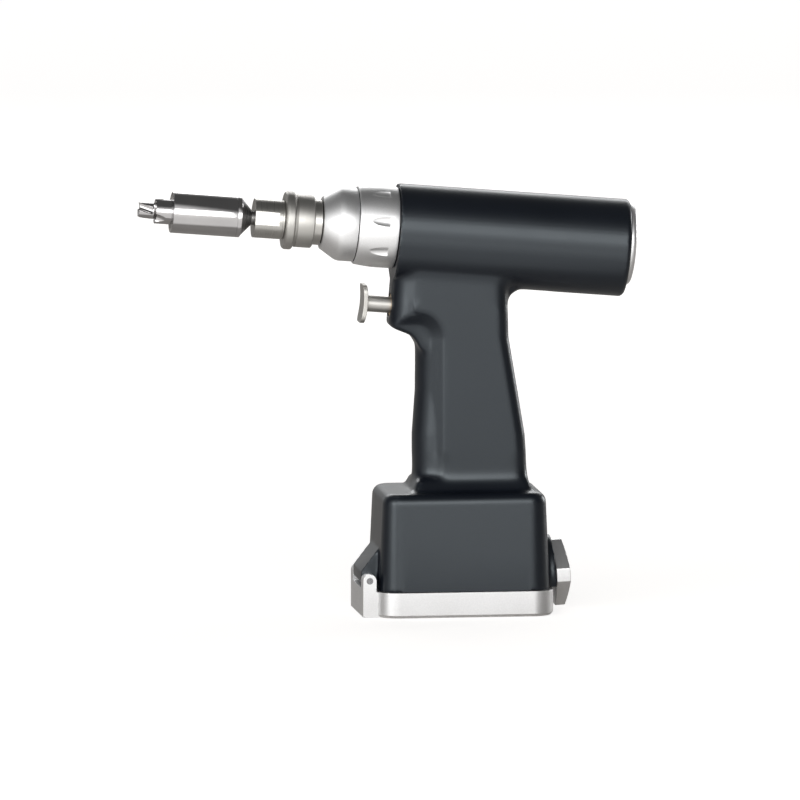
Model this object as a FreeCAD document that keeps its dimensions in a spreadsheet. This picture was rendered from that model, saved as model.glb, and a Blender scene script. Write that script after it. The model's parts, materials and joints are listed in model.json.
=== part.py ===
import FreeCAD, Part
import math
import os
import re
import Sketcher

V = FreeCAD.Vector

# A battery surgical drill with a cranial perforator in its quick-release chuck. It stands on its base lid.
# X runs backwards, Z up, and the origin is the middle of the lid's underside.
# Driving dimensions in millimetres and degrees. A station is a place along the main axis, counted from the
# point above the origin: minus towards the nose, plus towards the end cap.
driving = {
    # main axis, tilted nose up
    "AxisHeight": 171.2, "Tilt": 4.8,
    # fits and gaps
    "RunningFit": 0.1, "SlideGap": 0.3, "SeamGap": 0.3, "EdgeBreak": 0.6,
    # perforator
    "CutterTip": -146.2, "InnerCutterRadius": 3.6, "TipPointDepth": 1.3, "TipPointRadius": 1.3,
    "CornerSetback": 0.6, "OuterCutterFront": -138.2, "OuterCutterRadius": 5.6, "OuterCutterBack": -122,
    "SleeveFront": -130.8, "SleeveBack": -99.4, "SleeveRadius": 9.25, "ClutchRadius": 6.6,
    "ClutchBack": -104, "HubRadius": 5, "ClutchFlange": 2, "PusherRadius": 2.4,
    "PusherBack": -110, "ConeBack": -94.7, "ConeRadius": 3.7, "ShankRadius": 3.15, "ShankBack": -72,
    "ShankGroove": 0.4, "GrooveHalf": 1.7, "FluteRadius": 2.1, "FluteBack": -139.5,
    "ScoopRadius": 3, "ScoopLength": 5,
    # quick-release chuck
    "ChuckFront": -93.5, "ChuckRadius": 8.8, "CollarFront": -79.8, "CollarFlangeRadius": 13.1,
    "CollarFlangeBack": -75.6, "CollarRadius": 11.8, "CollarBack": -66.7,
    "CageRadius": 6.3, "LockPinRadius": 1.6, "PinStation": -78.1, "LandBack": -76.3, "SpringSeat": -68.4,
    "NeckRadius": 10.2, "NeckBack": -63.3, "CollarWall": 1.3,
    # nose and its bearings
    "NoseFront": -62.8, "NoseFrontRadius": 11.7, "NoseShoulder": -55.1, "NoseRadius": 16.6,
    "NoseBack": -47.6, "NoseSpigot": 3.6, "SpindleRadius": 5, "SealLength": 3, "BearingWidth": 5,
    "BearingRadius": 9.5, "RaceWall": 1.3, "FrontBearingStation": -58.5, "RearBearingStation": -49.5,
    "RollerCount": 6,
    # gears
    "Module": 0.5, "SunTeeth": 12, "PlanetTeeth": 18, "CarrierFront": -42.6, "CarrierWidth": 2.6,
    "CarrierRadius": 10.6, "GearFront": -39.4, "GearWidth": 7, "PinRadius": 1.2, "RingGearFront": -42.8,
    "RingGearBack": -30.5,
    # lock ring
    "SleeveOuter": 16.2, "GearBore": 14.3, "RingFrontRadius": 17.55, "RingRadius": 18.45, "RingBulge": -38,
    "ScoopCount": 8, "ScoopAngle": 13.5, "FingerRadius": 2.3, "FingerFront": -38.6, "FingerBack": -30.5,
    "FingerDepth": 1,
    # barrel
    "BarrelFront": -29, "BarrelBack": 76, "BarrelRadius": 20, "BarrelDrop": 3.9,
    "RimBreak": 1.2, "MotorFront": -27.6, "MotorBack": 55, "MotorRadius": 16.4, "CanWall": 1.2,
    "StatorFront": -20, "StatorBack": 44, "RotorRadius": 9, "AirGap": 0.4, "MotorShaft": 1.6,
    "MotorBearingRadius": 4, "MotorBearingWidth": 3, "ShaftBack": 58,
    "CapRadius": 18.5, "CapProud": 2.5, "CapPlug": 9, "CapRounding": 1.8, "SealGroove": 1.3,
    "SealStation": 70, "SealWidth": 2,
    # trigger
    "TriggerDrop": 35, "StemRadius": 3.7, "StemBack": -10, "PlateStation": -41.6, "PlateWidth": 14,
    "PlateHeight": 17.3, "PlateThick": 2, "PlateDish": 1.5, "PlateCorner": 3.5,
    "BushFront": -28.4, "BushBack": -18, "BushRadius": 5.5, "TriggerBoreBack": 6, "SensorThick": 1.6,
    "MagnetRadius": 2, "MagnetLength": 3, "TriggerCase": 13.5, "TriggerCaseCorner": 10.5,
    "ChinTop": 8.4, "ChinSetback": 1.8, "ChinLow": 9.8, "ChinLength": 10.2, "ChinBack": 12.4,
    "ThroatLength": 12.7, "ThroatDrop": 15.2, "CaseLength": 15, "CaseDrop": 19,
    # grip
    "GripFront": -20, "GripFrontLow": -21.4, "GripNoseRadius": 12, "GripHalf": 14.5, "GripCrease": -6.2,
    "CreaseSlope": 2.6, "GripCorner": 6, "GripTop": 158, "GripLow": 52, "ShoulderHeight": 137,
    "ShoulderLow": 121, "GripFoot": 60.6, "GripLower": 80.6, "GripMiddle": 100.6, "GripHigh": 124.5,
    "GripBackFoot": 30, "GripBackLow": 28.6, "GripBackMiddle": 25.3, "GripBackHigh": 21.3,
    "GripBackTop": 20.5, "WebTop": 147, "WebRadius": 5, "WebHalf": 8,
    "CavityFront": -13, "CavityBack": 14, "CavityHalf": 10, "CavityTop": 122,
    # battery housing
    "HousingLow": 11.7, "HousingTop": 55.5, "HousingHalf": 38.8, "HousingDraft": 2.6, "HousingWidth": 27.3,
    "HousingCorner": 9.5, "TopRounding": 4.5, "Flare": 4, "BayHalf": 32.4,
    "BayWidth": 22, "BayTop": 51, "BayCorner": 0.5,
    # battery
    "CaseHalf": 32, "CaseWidth": 21.6, "CaseLow": 12.6, "CellRadius": 9.1, "CellLength": 50,
    "CellPitch": 18.7, "CellMiddle": 31.3, "EndPlate": 2, "PadLow": 9.2, "CaseGap": 1, "BlockDepth": 6,
    "BlockHalf": 12, "BlockWidth": 9, "ContactSpacing": 8, "ContactRadius": 1.2, "TerminalRise": 0.5,
    "CardThick": 1.6, "CardTop": 118, "CardHalf": 11,
    # lid and hinge
    "LidHalf": 40.2, "LidWidth": 28, "LidCorner": 10, "LidEdge": 1.2, "HingeX": -43.2, "HingeZ": 16.4,
    "KnuckleRadius": 3, "LugHalf": 13.7, "EarOuter": 21.7, "BlockHeight": 12.5, "LugTop": 30.5,
    "LugTopX": -38, "LugStep": 3.4, "HingePin": 1.5, "PinDepth": 6, "SocketSize": 1.5, "SocketDepth": 1.2,
    "SealInset": 3, "SealBand": 1.6, "SealThick": 0.9, "SealLow": 10.6, "PadInset": 9,
    # lock
    "KnobX": 42.4, "KnobHeight": 16.6, "KnobTilt": 3.1, "KnobHalf": 14.9, "KnobFlat": 3, "KnobThick": 6.4,
    "KnobCrown": 61, "BossRadius": 17, "BossDepth": 7, "LockShaft": 2, "ArmReach": 4.6, "ArmHalf": 1.4,
    "ArmFront": -8.9, "ArmBack": -7.3, "WasherRadius": 4.5, "WasherSeat": 1.5, "CatchX": 33.2,
    "CatchThick": 2.2,
    "CatchInner": 5.3, "CatchOuter": 7.2, "LipReach": 2.6, "LipLow": 18.5, "CatchTop": 20.5,
    "LockPocketBack": 36.2,
}

doc = FreeCAD.newDocument("SurgicalDrill")
sheet = doc.addObject("Spreadsheet::Sheet", "Sizes")
for row, (alias, number) in enumerate(driving.items(), start=1):
    sheet.set("A%d" % row, alias)
    sheet.set("B%d" % row, str(number))
    sheet.setAlias("B%d" % row, alias)
doc.recompute()
nodes = []


# Words with a capital are cells of the sheet
def bound(text):
    return re.sub(r"\b([A-Z][A-Za-z]+)", r"Sizes.\1", str(text))


def size(text):
    return float(sheet.evalExpression(bound(text)))


def bind(item, prop, text):
    item.setExpression(prop, bound(text))


# A place in the tilted frame of the main axis, raised by some distance square to it
def lay_on_axis(item, rise="0"):
    item.Placement = FreeCAD.Placement(V(1, 0, 1), FreeCAD.Rotation(V(0, 1, 0), 1))
    bind(item, ".Placement.Base.x", "(%s) * sin(Tilt)" % rise)
    bind(item, ".Placement.Base.z", "AxisHeight + (%s) * cos(Tilt)" % rise)
    bind(item, ".Placement.Rotation.Angle", "Tilt")


# The lock's frame: its X is square to the drafted back wall
def lay_on_lock(item):
    item.Placement = FreeCAD.Placement(V(1, 0, 1), FreeCAD.Rotation(V(0, -1, 0), 1))
    bind(item, ".Placement.Base.x", "KnobX")
    bind(item, ".Placement.Base.z", "KnobHeight")
    bind(item, ".Placement.Rotation.Angle", "KnobTilt")


def new_body(name, lay=None, rise="0"):
    body = doc.addObject("PartDesign::Body", name)
    body.Label = name
    doc.recompute()
    if lay is lay_on_axis:
        lay_on_axis(body, rise)
    elif lay:
        lay(body)
    return body


def sketch_on(body, role, name, offset=None):
    plane = next(item for item in body.Origin.OriginFeatures if item.Role == role)
    sketch = body.newObject("Sketcher::SketchObject", name)
    sketch.AttachmentSupport = (plane, [""])
    sketch.MapMode = "FlatFace"
    if offset is not None:
        bind(sketch, ".AttachmentOffset.Base.z", offset)
    return sketch


# Centre of the minor arc from a to b; a plus radius bulges outwards when the outline runs anticlockwise
def arc_middle(a, b, radius):
    chord = b - a
    height = math.sqrt(max(radius ** 2 - (chord.Length / 2) ** 2, 0))
    left = V(-chord.y, chord.x, 0).normalize()
    return (a + b) * 0.5 + left * height * (1 if radius > 0 else -1)


def arc_between(a, b, radius):
    middle = arc_middle(a, b, radius)
    first, last = (a, b) if radius > 0 else (b, a)
    start = math.atan2(first.y - middle.y, first.x - middle.x)
    end = math.atan2(last.y - middle.y, last.x - middle.x)
    if end < start:
        end += 2 * math.pi
    return Part.ArcOfCircle(Part.Circle(middle, V(0, 0, 1), abs(radius)), start, end)


# A closed outline: each corner is a pair of expressions, and a third makes the side after it an arc
def outline(sketch, corners):
    spots = [V(size(corner[0]), size(corner[1]), 0) for corner in corners]
    ends = []
    for index, corner in enumerate(corners):
        a, b = spots[index], spots[(index + 1) % len(spots)]
        radius = size(corner[2]) if len(corner) > 2 else 0
        shape = arc_between(a, b, radius) if radius else Part.LineSegment(a, b)
        sketch.addGeometry(shape, False)
        ends.append((2, 1) if radius < 0 else (1, 2))
    for index in range(len(corners)):
        following = (index + 1) % len(corners)
        sketch.addConstraint(Sketcher.Constraint(
            "Coincident", index, ends[index][1], following, ends[following][0]))
    for index, corner in enumerate(corners):
        name_sizes(sketch, "DistanceX", index, ends[index][0], corner[0])
        name_sizes(sketch, "DistanceY", index, ends[index][0], corner[1])
        if len(corner) > 2:
            rule = sketch.addConstraint(Sketcher.Constraint("Radius", index, abs(size(corner[2]))))
            sketch.renameConstraint(rule, "Radius%d" % index)
            bind(sketch, "Constraints.Radius%d" % index, "abs(%s)" % corner[2])


def name_sizes(sketch, kind, index, end, text):
    rule = sketch.addConstraint(Sketcher.Constraint(kind, -1, 1, index, end, size(text)))
    name = "%s%d" % (kind, index)
    sketch.renameConstraint(rule, name)
    bind(sketch, "Constraints." + name, text)


def rounded(left, right, low, high, corner):
    return [("%s + %s" % (left, corner), low), ("%s - %s" % (right, corner), low, corner),
            (right, "%s + %s" % (low, corner)), (right, "%s - %s" % (high, corner), corner),
            ("%s - %s" % (right, corner), high), ("%s + %s" % (left, corner), high, corner),
            (left, "%s - %s" % (high, corner)), (left, "%s + %s" % (low, corner), corner)]


def box_outline(left, right, low, high):
    return [(left, low), (right, low), (right, high), (left, high)]


def finish(body, feature, keep=True):
    body.Tip = feature
    doc.recompute()
    if keep:
        nodes.append(body)
    return body


# A turned piece: the profile's first value is the station, the second the radius
def turned(name, corners, rise="0", keep=True, lay=lay_on_axis):
    body = new_body(name, lay, rise)
    sketch = sketch_on(body, "XZ_Plane", name + "_profile")
    outline(sketch, corners)
    turn = body.newObject("PartDesign::Revolution", name + "_turned")
    turn.Profile = sketch
    turn.ReferenceAxis = (sketch, ["H_Axis"])
    turn.Angle = 360
    return finish(body, turn, keep)


def ring(name, front, back, inner, outer, rise="0", keep=True, lay=lay_on_axis):
    return turned(name, box_outline(front, back, inner, outer), rise, keep, lay)


# A straight-sided piece: an outline on one of the body's planes, padded to a length
def padded(name, role, corners, length, offset=None, keep=True, lay=None, middle=False, back=False):
    body = new_body(name, lay)
    sketch = sketch_on(body, role, name + "_outline", offset)
    outline(sketch, corners)
    pad = body.newObject("PartDesign::Pad", name + "_pad")
    pad.Profile = sketch
    bind(pad, "Length", length)
    pad.Midplane = middle
    pad.Reversed = back
    return finish(body, pad, keep)


def edges_where(shape, test):
    return ["Edge%d" % (index + 1) for index, edge in enumerate(shape.Edges) if test(edge)]


def softened(body, kind, test, radius):
    base = body.Tip
    feature = body.newObject("PartDesign::" + kind, "%s_%s" % (body.Name, kind.lower()))
    feature.Base = (base, edges_where(base.Shape, test))
    bind(feature, "Radius" if kind == "Fillet" else "Size", radius)
    body.Tip = feature
    doc.recompute()
    return feature


# Booleans of whole pieces
def joined(name, items):
    fuse = doc.addObject("Part::MultiFuse", name)
    fuse.Label = name
    fuse.Shapes = items
    fuse.Refine = True
    doc.recompute()
    return fuse


def cut(name, base, tools, keep=True):
    tool = tools[0] if len(tools) == 1 else joined(name + "_tools", tools)
    item = doc.addObject("Part::Cut", name)
    item.Label = name
    item.Base = base
    item.Tool = tool
    item.Refine = True
    doc.recompute()
    if keep:
        nodes.append(item)
    return item


# A piece whose form is worked out in code from the sheet, along its own X; turns made so far stay in it
def made(name, shape, lay=lay_on_axis, keep=True):
    item = doc.addObject("Part::Feature", name)
    item.Label = name
    turns = shape.Placement.toMatrix()
    plain = shape.copy()
    plain.Placement = FreeCAD.Placement()
    item.Shape = plain.transformed(turns, True)
    if lay:
        lay(item)
    doc.recompute()
    if keep:
        nodes.append(item)
    return item


def disc(radius, front, back, y=0, z=0):
    return Part.makeCylinder(radius, back - front, V(front, y, z), V(1, 0, 0))


def around_x(shape, degrees):
    copy = shape.copy()
    copy.rotate(V(0, 0, 0), V(1, 0, 0), degrees)
    return copy


# Cutting tip: two fluted cutters, one inside the other
def inner_cutter():
    turned_form = turned("inner_cutter_form", [
        ("CutterTip", "0"), ("CutterTip + TipPointDepth", "TipPointRadius"),
        ("CutterTip + CornerSetback", "InnerCutterRadius"), ("OuterCutterBack + SlideGap", "InnerCutterRadius"),
        ("OuterCutterBack + SlideGap", "ClutchRadius - 0.4"),
        ("OuterCutterBack + SlideGap + ClutchFlange", "ClutchRadius - 0.4"),
        ("OuterCutterBack + SlideGap + ClutchFlange", "PusherRadius"), ("PusherBack", "PusherRadius"),
        ("PusherBack", "0")], keep=False)
    tip, end, radius = size("CutterTip"), size("FluteBack"), size("FluteRadius")
    groove = disc(radius, tip - 1, end, z=size("InnerCutterRadius") + 0.6)
    flutes = made("inner_flutes", Part.makeCompound([around_x(groove, 120 * n + 60) for n in range(3)]),
                  keep=False)
    return cut("inner_cutter", turned_form, [flutes])


def outer_cutter():
    ring_form = turned("outer_cutter_form", [
        ("OuterCutterFront + 0.5", "InnerCutterRadius + SlideGap"), ("OuterCutterFront", "OuterCutterRadius"),
        ("OuterCutterBack", "OuterCutterRadius"), ("OuterCutterBack", "InnerCutterRadius + SlideGap")],
        keep=False)
    radius, front, length = size("ScoopRadius"), size("OuterCutterFront"), size("ScoopLength")
    rim = size("OuterCutterRadius")
    scoop = Part.makeCylinder(radius, length + 2, V(front - 2, 0, rim + 1), V(length, 0, 1.6))
    scoops = made("outer_scoops", Part.makeCompound([around_x(scoop, 120 * n) for n in range(3)]),
                  keep=False)
    return cut("outer_cutter", ring_form, [scoops])


# A coil spring of square wire; each turn is drawn as short straight runs
def coil_spring(name, front, back, middle_radius, wire, turns, rise="0"):
    runs = 12
    inner, outer = (middle_radius - wire) / math.cos(math.pi / runs), middle_radius + wire
    pitch = (back - front - wire) / turns
    sections = []
    for step in range(runs * turns + 1):
        angle, x = 2 * math.pi * step / runs, front + pitch * step / runs
        out = V(0, math.cos(angle), math.sin(angle))
        sections.append([V(x, 0, 0) + out * inner, V(x + wire, 0, 0) + out * inner,
                         V(x + wire, 0, 0) + out * outer, V(x, 0, 0) + out * outer])
    faces = [flat_face(sections[0]), flat_face(sections[-1])]
    for a, b in zip(sections, sections[1:]):
        faces += [flat_face([a[0], a[1], b[1], b[0]]), flat_face([a[2], a[3], b[3], b[2]])]
        for side in (1, 3):
            after = (side + 1) % 4
            faces += [flat_face([a[side], a[after], b[after]]), flat_face([a[side], b[after], b[side]])]
    skin = Part.makeShell(faces)
    skin.sewShape()
    wound = Part.makeSolid(skin)
    return made(name, wound, lambda item: lay_on_axis(item, rise))


def flat_face(corners):
    return Part.Face(Part.makePolygon(corners + corners[:1]))


def perforator():
    inner_cutter()
    outer_cutter()
    turned("perforator_sleeve", [
        ("SleeveFront", "OuterCutterRadius"), ("SleeveFront", "SleeveRadius - EdgeBreak"),
        ("SleeveFront + EdgeBreak", "SleeveRadius"), ("SleeveBack - EdgeBreak", "SleeveRadius"),
        ("SleeveBack", "SleeveRadius - EdgeBreak"), ("SleeveBack", "HubRadius"), ("ClutchBack", "HubRadius"),
        ("ClutchBack", "ClutchRadius"), ("OuterCutterBack", "ClutchRadius"),
        ("OuterCutterBack", "OuterCutterRadius")])
    front = size("OuterCutterBack + SlideGap + ClutchFlange + SlideGap")
    coil_spring("clutch_spring", front, size("ClutchBack - SlideGap"), size("ClutchRadius") - 1.6, 0.6, 3)
    turned("perforator_shank", [
        ("ClutchBack", "0"), ("ClutchBack", "HubRadius"), ("SleeveBack", "HubRadius"),
        ("SleeveBack", "SleeveRadius - EdgeBreak"), ("ConeBack", "ConeRadius"), ("ConeBack", "ShankRadius"),
        ("PinStation - GrooveHalf", "ShankRadius"), ("PinStation - GrooveHalf", "ShankRadius - ShankGroove"),
        ("PinStation + GrooveHalf", "ShankRadius - ShankGroove"), ("PinStation + GrooveHalf", "ShankRadius"),
        ("ShankBack - EdgeBreak", "ShankRadius"),
        ("ShankBack", "ShankRadius - EdgeBreak"), ("ShankBack", "0")])


# Quick-release chuck: the collar's land holds three pins in the shank's groove
def chuck():
    cage = turned("chuck_form", [
        ("ChuckFront", "ShankRadius + RunningFit"), ("ChuckFront", "ChuckRadius - EdgeBreak"),
        ("ChuckFront + EdgeBreak", "ChuckRadius"), ("CollarFront - SeamGap", "ChuckRadius"),
        ("CollarFront - SeamGap", "CageRadius"), ("SpringSeat", "CageRadius"), ("SpringSeat", "NeckRadius"),
        ("NeckBack", "NeckRadius"), ("NeckBack", "SpindleRadius"),
        ("ShankBack + SeamGap", "SpindleRadius"), ("ShankBack + SeamGap", "ShankRadius + RunningFit")],
        keep=False)
    station, dog_radius = size("PinStation"), size("LockPinRadius")
    hole_radius = dog_radius + size("RunningFit")
    hole = Part.makeCylinder(hole_radius, size("ChuckRadius"), V(station, 0, 0), V(0, 0, 1))
    holes = made("pin_holes", Part.makeCompound([around_x(hole, 120 * n) for n in range(3)]), keep=False)
    cut("chuck_body", cage, [holes])
    foot = size("ShankRadius - ShankGroove") + 0.1
    dog = Part.makeCylinder(dog_radius, size("CageRadius") - foot, V(station, 0, foot), V(0, 0, 1))
    for number in range(3):
        made("locking_pin_%d" % (number + 1), around_x(dog, 120 * number))
    turned("release_collar", [
        ("CollarFront", "CageRadius + SlideGap"), ("CollarFront", "CollarFlangeRadius - EdgeBreak"),
        ("CollarFront + EdgeBreak", "CollarFlangeRadius"), ("CollarFlangeBack - EdgeBreak",
                                                            "CollarFlangeRadius"),
        ("CollarFlangeBack", "CollarFlangeRadius - EdgeBreak"), ("CollarFlangeBack", "CollarRadius"),
        ("CollarBack - EdgeBreak", "CollarRadius"), ("CollarBack", "CollarRadius - EdgeBreak"),
        ("CollarBack", "CollarRadius - CollarWall"), ("LandBack", "CollarRadius - CollarWall"),
        ("LandBack", "CageRadius + SlideGap")])
    coil_spring("collar_spring", size("LandBack") + 0.3, size("SpringSeat") - 0.3, size("NeckRadius") - 1.8,
                 0.5, 2)


# Flat-flanked gear teeth in a plane; thickness is given at the pitch circle
def gear_face(teeth, inside):
    module = size("Module")
    pitch = module * teeth / 2
    outer, inner = pitch + 0.8 * module, pitch - 1.1 * module
    if inside:
        outer, inner = pitch + 1.1 * module, pitch - 0.7 * module
    half, slope = 0.52 * module, 0.36
    points = []
    for tooth in range(teeth):
        turn = 2 * math.pi * tooth / teeth
        for radius, side in ((inner, -1), (outer, -1), (outer, 1), (inner, 1)):
            wide = half - slope * (pitch - radius if inside else radius - pitch)
            angle = turn + side * wide / radius
            points.append(V(0, radius * math.sin(angle), radius * math.cos(angle)))
    if inside:
        points = inner_gear_points(teeth, pitch, outer, inner, half, slope)
    return Part.Face(Part.makePolygon(points + points[:1]))


# The ring gear's teeth point inwards
def inner_gear_points(teeth, pitch, outer, inner, half, slope):
    points = []
    for tooth in range(teeth):
        turn = 2 * math.pi * tooth / teeth
        for radius, side in ((outer, -1), (inner, -1), (inner, 1), (outer, 1)):
            wide = half + slope * (radius - pitch)
            angle = turn + side * wide / radius
            points.append(V(0, radius * math.sin(angle), radius * math.cos(angle)))
    return points


def gear(teeth, front, width, inside=False):
    solid = gear_face(teeth, inside).extrude(V(width, 0, 0))
    solid.translate(V(front, 0, 0))
    return solid


def bearing(name, station):
    back = "%s + BearingWidth" % station
    ring(name + "_inner", station, back, "SpindleRadius", "SpindleRadius + RaceWall")
    ring(name + "_outer", station, back, "BearingRadius - RaceWall", "BearingRadius")
    low, high = size("SpindleRadius + RaceWall"), size("BearingRadius - RaceWall")
    middle, start, width = (low + high) / 2, size(station), size("BearingWidth")
    roller = (high - low) / 2 - size("RunningFit")
    cage = disc(middle + 0.3, start + width * 0.1, start + width * 0.3).cut(
        disc(middle - 0.3, start, start + width))
    rollers = [around_x(disc(roller, start + width * 0.2, start + width * 0.8, z=middle),
                        360 * number / size("RollerCount")) for number in range(int(size("RollerCount")))]
    made(name + "_rollers", cage.fuse(rollers))


def gearbox():
    turned("nose_cone", [
        ("NoseFront", "BearingRadius"), ("NoseFront", "NoseFrontRadius"), ("NoseShoulder", "NoseRadius"),
        ("NoseBack", "NoseRadius"),
        ("NoseBack", "GearBore"), ("NoseBack + NoseSpigot", "GearBore"),
        ("NoseBack + NoseSpigot", "BearingRadius"), ("RearBearingStation", "BearingRadius"),
        ("RearBearingStation", "BearingRadius - RaceWall + 0.2"),
        ("FrontBearingStation + BearingWidth", "BearingRadius - RaceWall + 0.2"),
        ("FrontBearingStation + BearingWidth", "BearingRadius")])
    ring("spindle_seal", "NoseFront + 0.6", "NoseFront + 0.6 + SealLength", "SpindleRadius + RunningFit",
         "BearingRadius")
    turned("spindle", [
        ("ShankBack + SeamGap", "0"), ("ShankBack + SeamGap", "SpindleRadius"),
        ("CarrierFront", "SpindleRadius"), ("CarrierFront", "CarrierRadius"),
        ("CarrierFront + CarrierWidth", "CarrierRadius"), ("CarrierFront + CarrierWidth", "0")])
    bearing("front_bearing", "FrontBearingStation")
    bearing("rear_bearing", "RearBearingStation")
    front, width, module = size("GearFront"), size("GearWidth"), size("Module")
    spread = module * size("SunTeeth + PlanetTeeth") / 2
    pin = size("PinRadius")
    carrier_back = size("CarrierFront + CarrierWidth")
    for number in range(3):
        axle = disc(pin, carrier_back, front + width, z=spread)
        made("planet_pin_%d" % (number + 1), around_x(axle, 120 * number))
        wheel = gear(int(size("PlanetTeeth")), front, width)
        wheel = around_x(wheel, 180 / size("PlanetTeeth")).cut(disc(pin + 0.1, front - 1, front + width + 1))
        wheel.translate(V(0, 0, spread))
        made("planet_gear_%d" % (number + 1), around_x(wheel, 120 * number))
    ring_teeth = int(size("SunTeeth + 2 * PlanetTeeth"))
    start, end = size("RingGearFront"), size("RingGearBack")
    annulus = disc(size("GearBore"), start, end)
    made("ring_gear", annulus.cut(gear(ring_teeth, start - 1, end - start + 2, inside=True)))


# Lock ring with its finger scoops
def lock_ring():
    form = turned("lock_ring_form", [
        ("NoseBack + SeamGap", "SleeveOuter + SlideGap"), ("BarrelFront - SeamGap", "SleeveOuter + SlideGap"),
        ("BarrelFront - SeamGap", "RingRadius"), ("RingBulge", "RingRadius"),
        ("NoseBack + SeamGap", "RingFrontRadius")], keep=False)
    radius, front, back = size("FingerRadius"), size("FingerFront"), size("FingerBack")
    height = size("RingRadius") + radius - size("FingerDepth")
    scoop = disc(radius, front + radius, back, z=height)
    scoop = scoop.fuse(Part.makeCone(0, radius, radius, V(front, 0, height), V(1, 0, 0)))
    count = int(size("ScoopCount"))
    scoops = [around_x(scoop, 90 - size("ScoopAngle") + 360 * n / count) for n in range(count)]
    tool = made("finger_scoops", Part.makeCompound(scoops), keep=False)
    return cut("lock_ring", form, [tool])


def motor():
    turned("motor_can", [
        ("MotorFront", "MotorBearingRadius"), ("MotorFront", "MotorRadius"), ("MotorBack", "MotorRadius"),
        ("MotorBack", "MotorBearingRadius"), ("MotorBack - CanWall", "MotorBearingRadius"),
        ("MotorBack - CanWall", "MotorRadius - CanWall"), ("MotorFront + CanWall", "MotorRadius - CanWall"),
        ("MotorFront + CanWall", "MotorBearingRadius")])
    ring("motor_stator", "StatorFront", "StatorBack", "RotorRadius + AirGap", "MotorRadius - CanWall")
    for name, station in (("motor_bearing_front", "MotorFront"),
                          ("motor_bearing_rear", "MotorBack - MotorBearingWidth")):
        ring(name, station, station + " + MotorBearingWidth", "MotorShaft + RunningFit", "MotorBearingRadius")
    shaft = disc(size("MotorShaft"), size("GearFront"), size("ShaftBack"))
    core = disc(size("RotorRadius"), size("StatorFront"), size("StatorBack"))
    sun = gear(int(size("SunTeeth")), size("GearFront"), size("GearWidth"))
    made("motor_rotor", shaft.fuse([core, sun]))
    turned("end_cap", [
        ("BarrelBack + CapProud", "0"), ("BarrelBack - CapPlug", "0"),
        ("BarrelBack - CapPlug", "MotorRadius"), ("SealStation", "MotorRadius"),
        ("SealStation", "MotorRadius - SealGroove"), ("SealStation + SealWidth", "MotorRadius - SealGroove"),
        ("SealStation + SealWidth", "MotorRadius"), ("BarrelBack", "MotorRadius"), ("BarrelBack", "CapRadius"),
        ("BarrelBack + CapProud - CapRounding", "CapRadius"),
        ("BarrelBack + CapProud", "CapRadius - CapRounding")])
    ring("end_cap_seal", "SealStation", "SealStation + SealWidth", "MotorRadius - SealGroove", "MotorRadius")


# Trigger: a dished plate on a stem that slides in a bush, with a magnet that its sensor reads
def trigger():
    low = "-TriggerDrop"
    body = new_body("trigger", lay_on_axis, low)
    side = sketch_on(body, "XZ_Plane", "trigger_plate_side")
    dish = "((PlateHeight / 2)^2 + PlateDish^2) / (2 * PlateDish)"
    outline(side, [
        ("PlateStation - PlateDish", "-PlateHeight / 2"),
        ("PlateStation - PlateDish + PlateThick", "-PlateHeight / 2", "-(%s)" % dish),
        ("PlateStation - PlateDish + PlateThick", "PlateHeight / 2"),
        ("PlateStation - PlateDish", "PlateHeight / 2", dish)])
    plate = body.newObject("PartDesign::Pad", "trigger_plate")
    plate.Profile = side
    plate.Midplane = True
    bind(plate, "Length", "PlateWidth")
    body.Tip = plate
    doc.recompute()
    reach, height = size("PlateWidth / 2"), size("PlateHeight / 2")
    softened(body, "Fillet", lambda edge: is_corner(edge, reach, height), "PlateCorner")
    shaft = sketch_on(body, "XZ_Plane", "trigger_stem_side")
    outline(shaft, [("PlateStation", "0"), ("PlateStation", "StemRadius"), ("StemBack", "StemRadius"),
                    ("StemBack", "MagnetRadius"), ("StemBack - MagnetLength", "MagnetRadius"),
                    ("StemBack - MagnetLength", "0")])
    stem = body.newObject("PartDesign::Revolution", "trigger_stem")
    stem.Profile = shaft
    stem.ReferenceAxis = (shaft, ["H_Axis"])
    finish(body, stem)
    turned("trigger_magnet", box_outline("StemBack - MagnetLength", "StemBack", "0", "MagnetRadius"), low)
    ring("trigger_bush", "BushFront", "BushBack", "StemRadius + RunningFit", "BushRadius", low)
    turned("trigger_sensor", box_outline("TriggerBoreBack", "TriggerBoreBack + SensorThick", "0",
                                         "BushRadius"), low)
    coil_spring("trigger_spring", size("StemBack") + 0.3, size("TriggerBoreBack") - 0.3,
                 size("StemRadius") - 0.6, 0.5, 4, low)


# An edge that runs through the plate's thickness at one of its corners
def is_corner(edge, y, z):
    a, b = [vertex.Point for vertex in edge.Vertexes]
    straight = abs(a.y - b.y) < 0.01 and abs(a.z - b.z) < 0.01
    return straight and abs(abs(a.y) - y) < 0.01 and abs(abs(a.z) - z) < 0.01


# Main housing: barrel, trigger case, grip, battery housing, hinge lug and lock boss in one casting
def obround(radius):
    return [(radius, "0", radius), ("0", radius, radius), ("-" + radius, "0"),
            ("-" + radius, "-BarrelDrop", radius), ("0", "-BarrelDrop - " + radius, radius),
            (radius, "-BarrelDrop")]


def lofted(name, role, sections, lay=None, straight=True):
    body = new_body(name, lay)
    sketches = []
    for number, (offset, corners) in enumerate(sections):
        sketch = sketch_on(body, role, "%s_section_%d" % (name, number + 1), offset)
        outline(sketch, corners)
        sketches.append(sketch)
    loft = body.newObject("PartDesign::AdditiveLoft", name + "_loft")
    loft.Profile = sketches[0]
    loft.Sections = sketches[1:]
    loft.Ruled = straight
    return finish(body, loft, keep=False)


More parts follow.
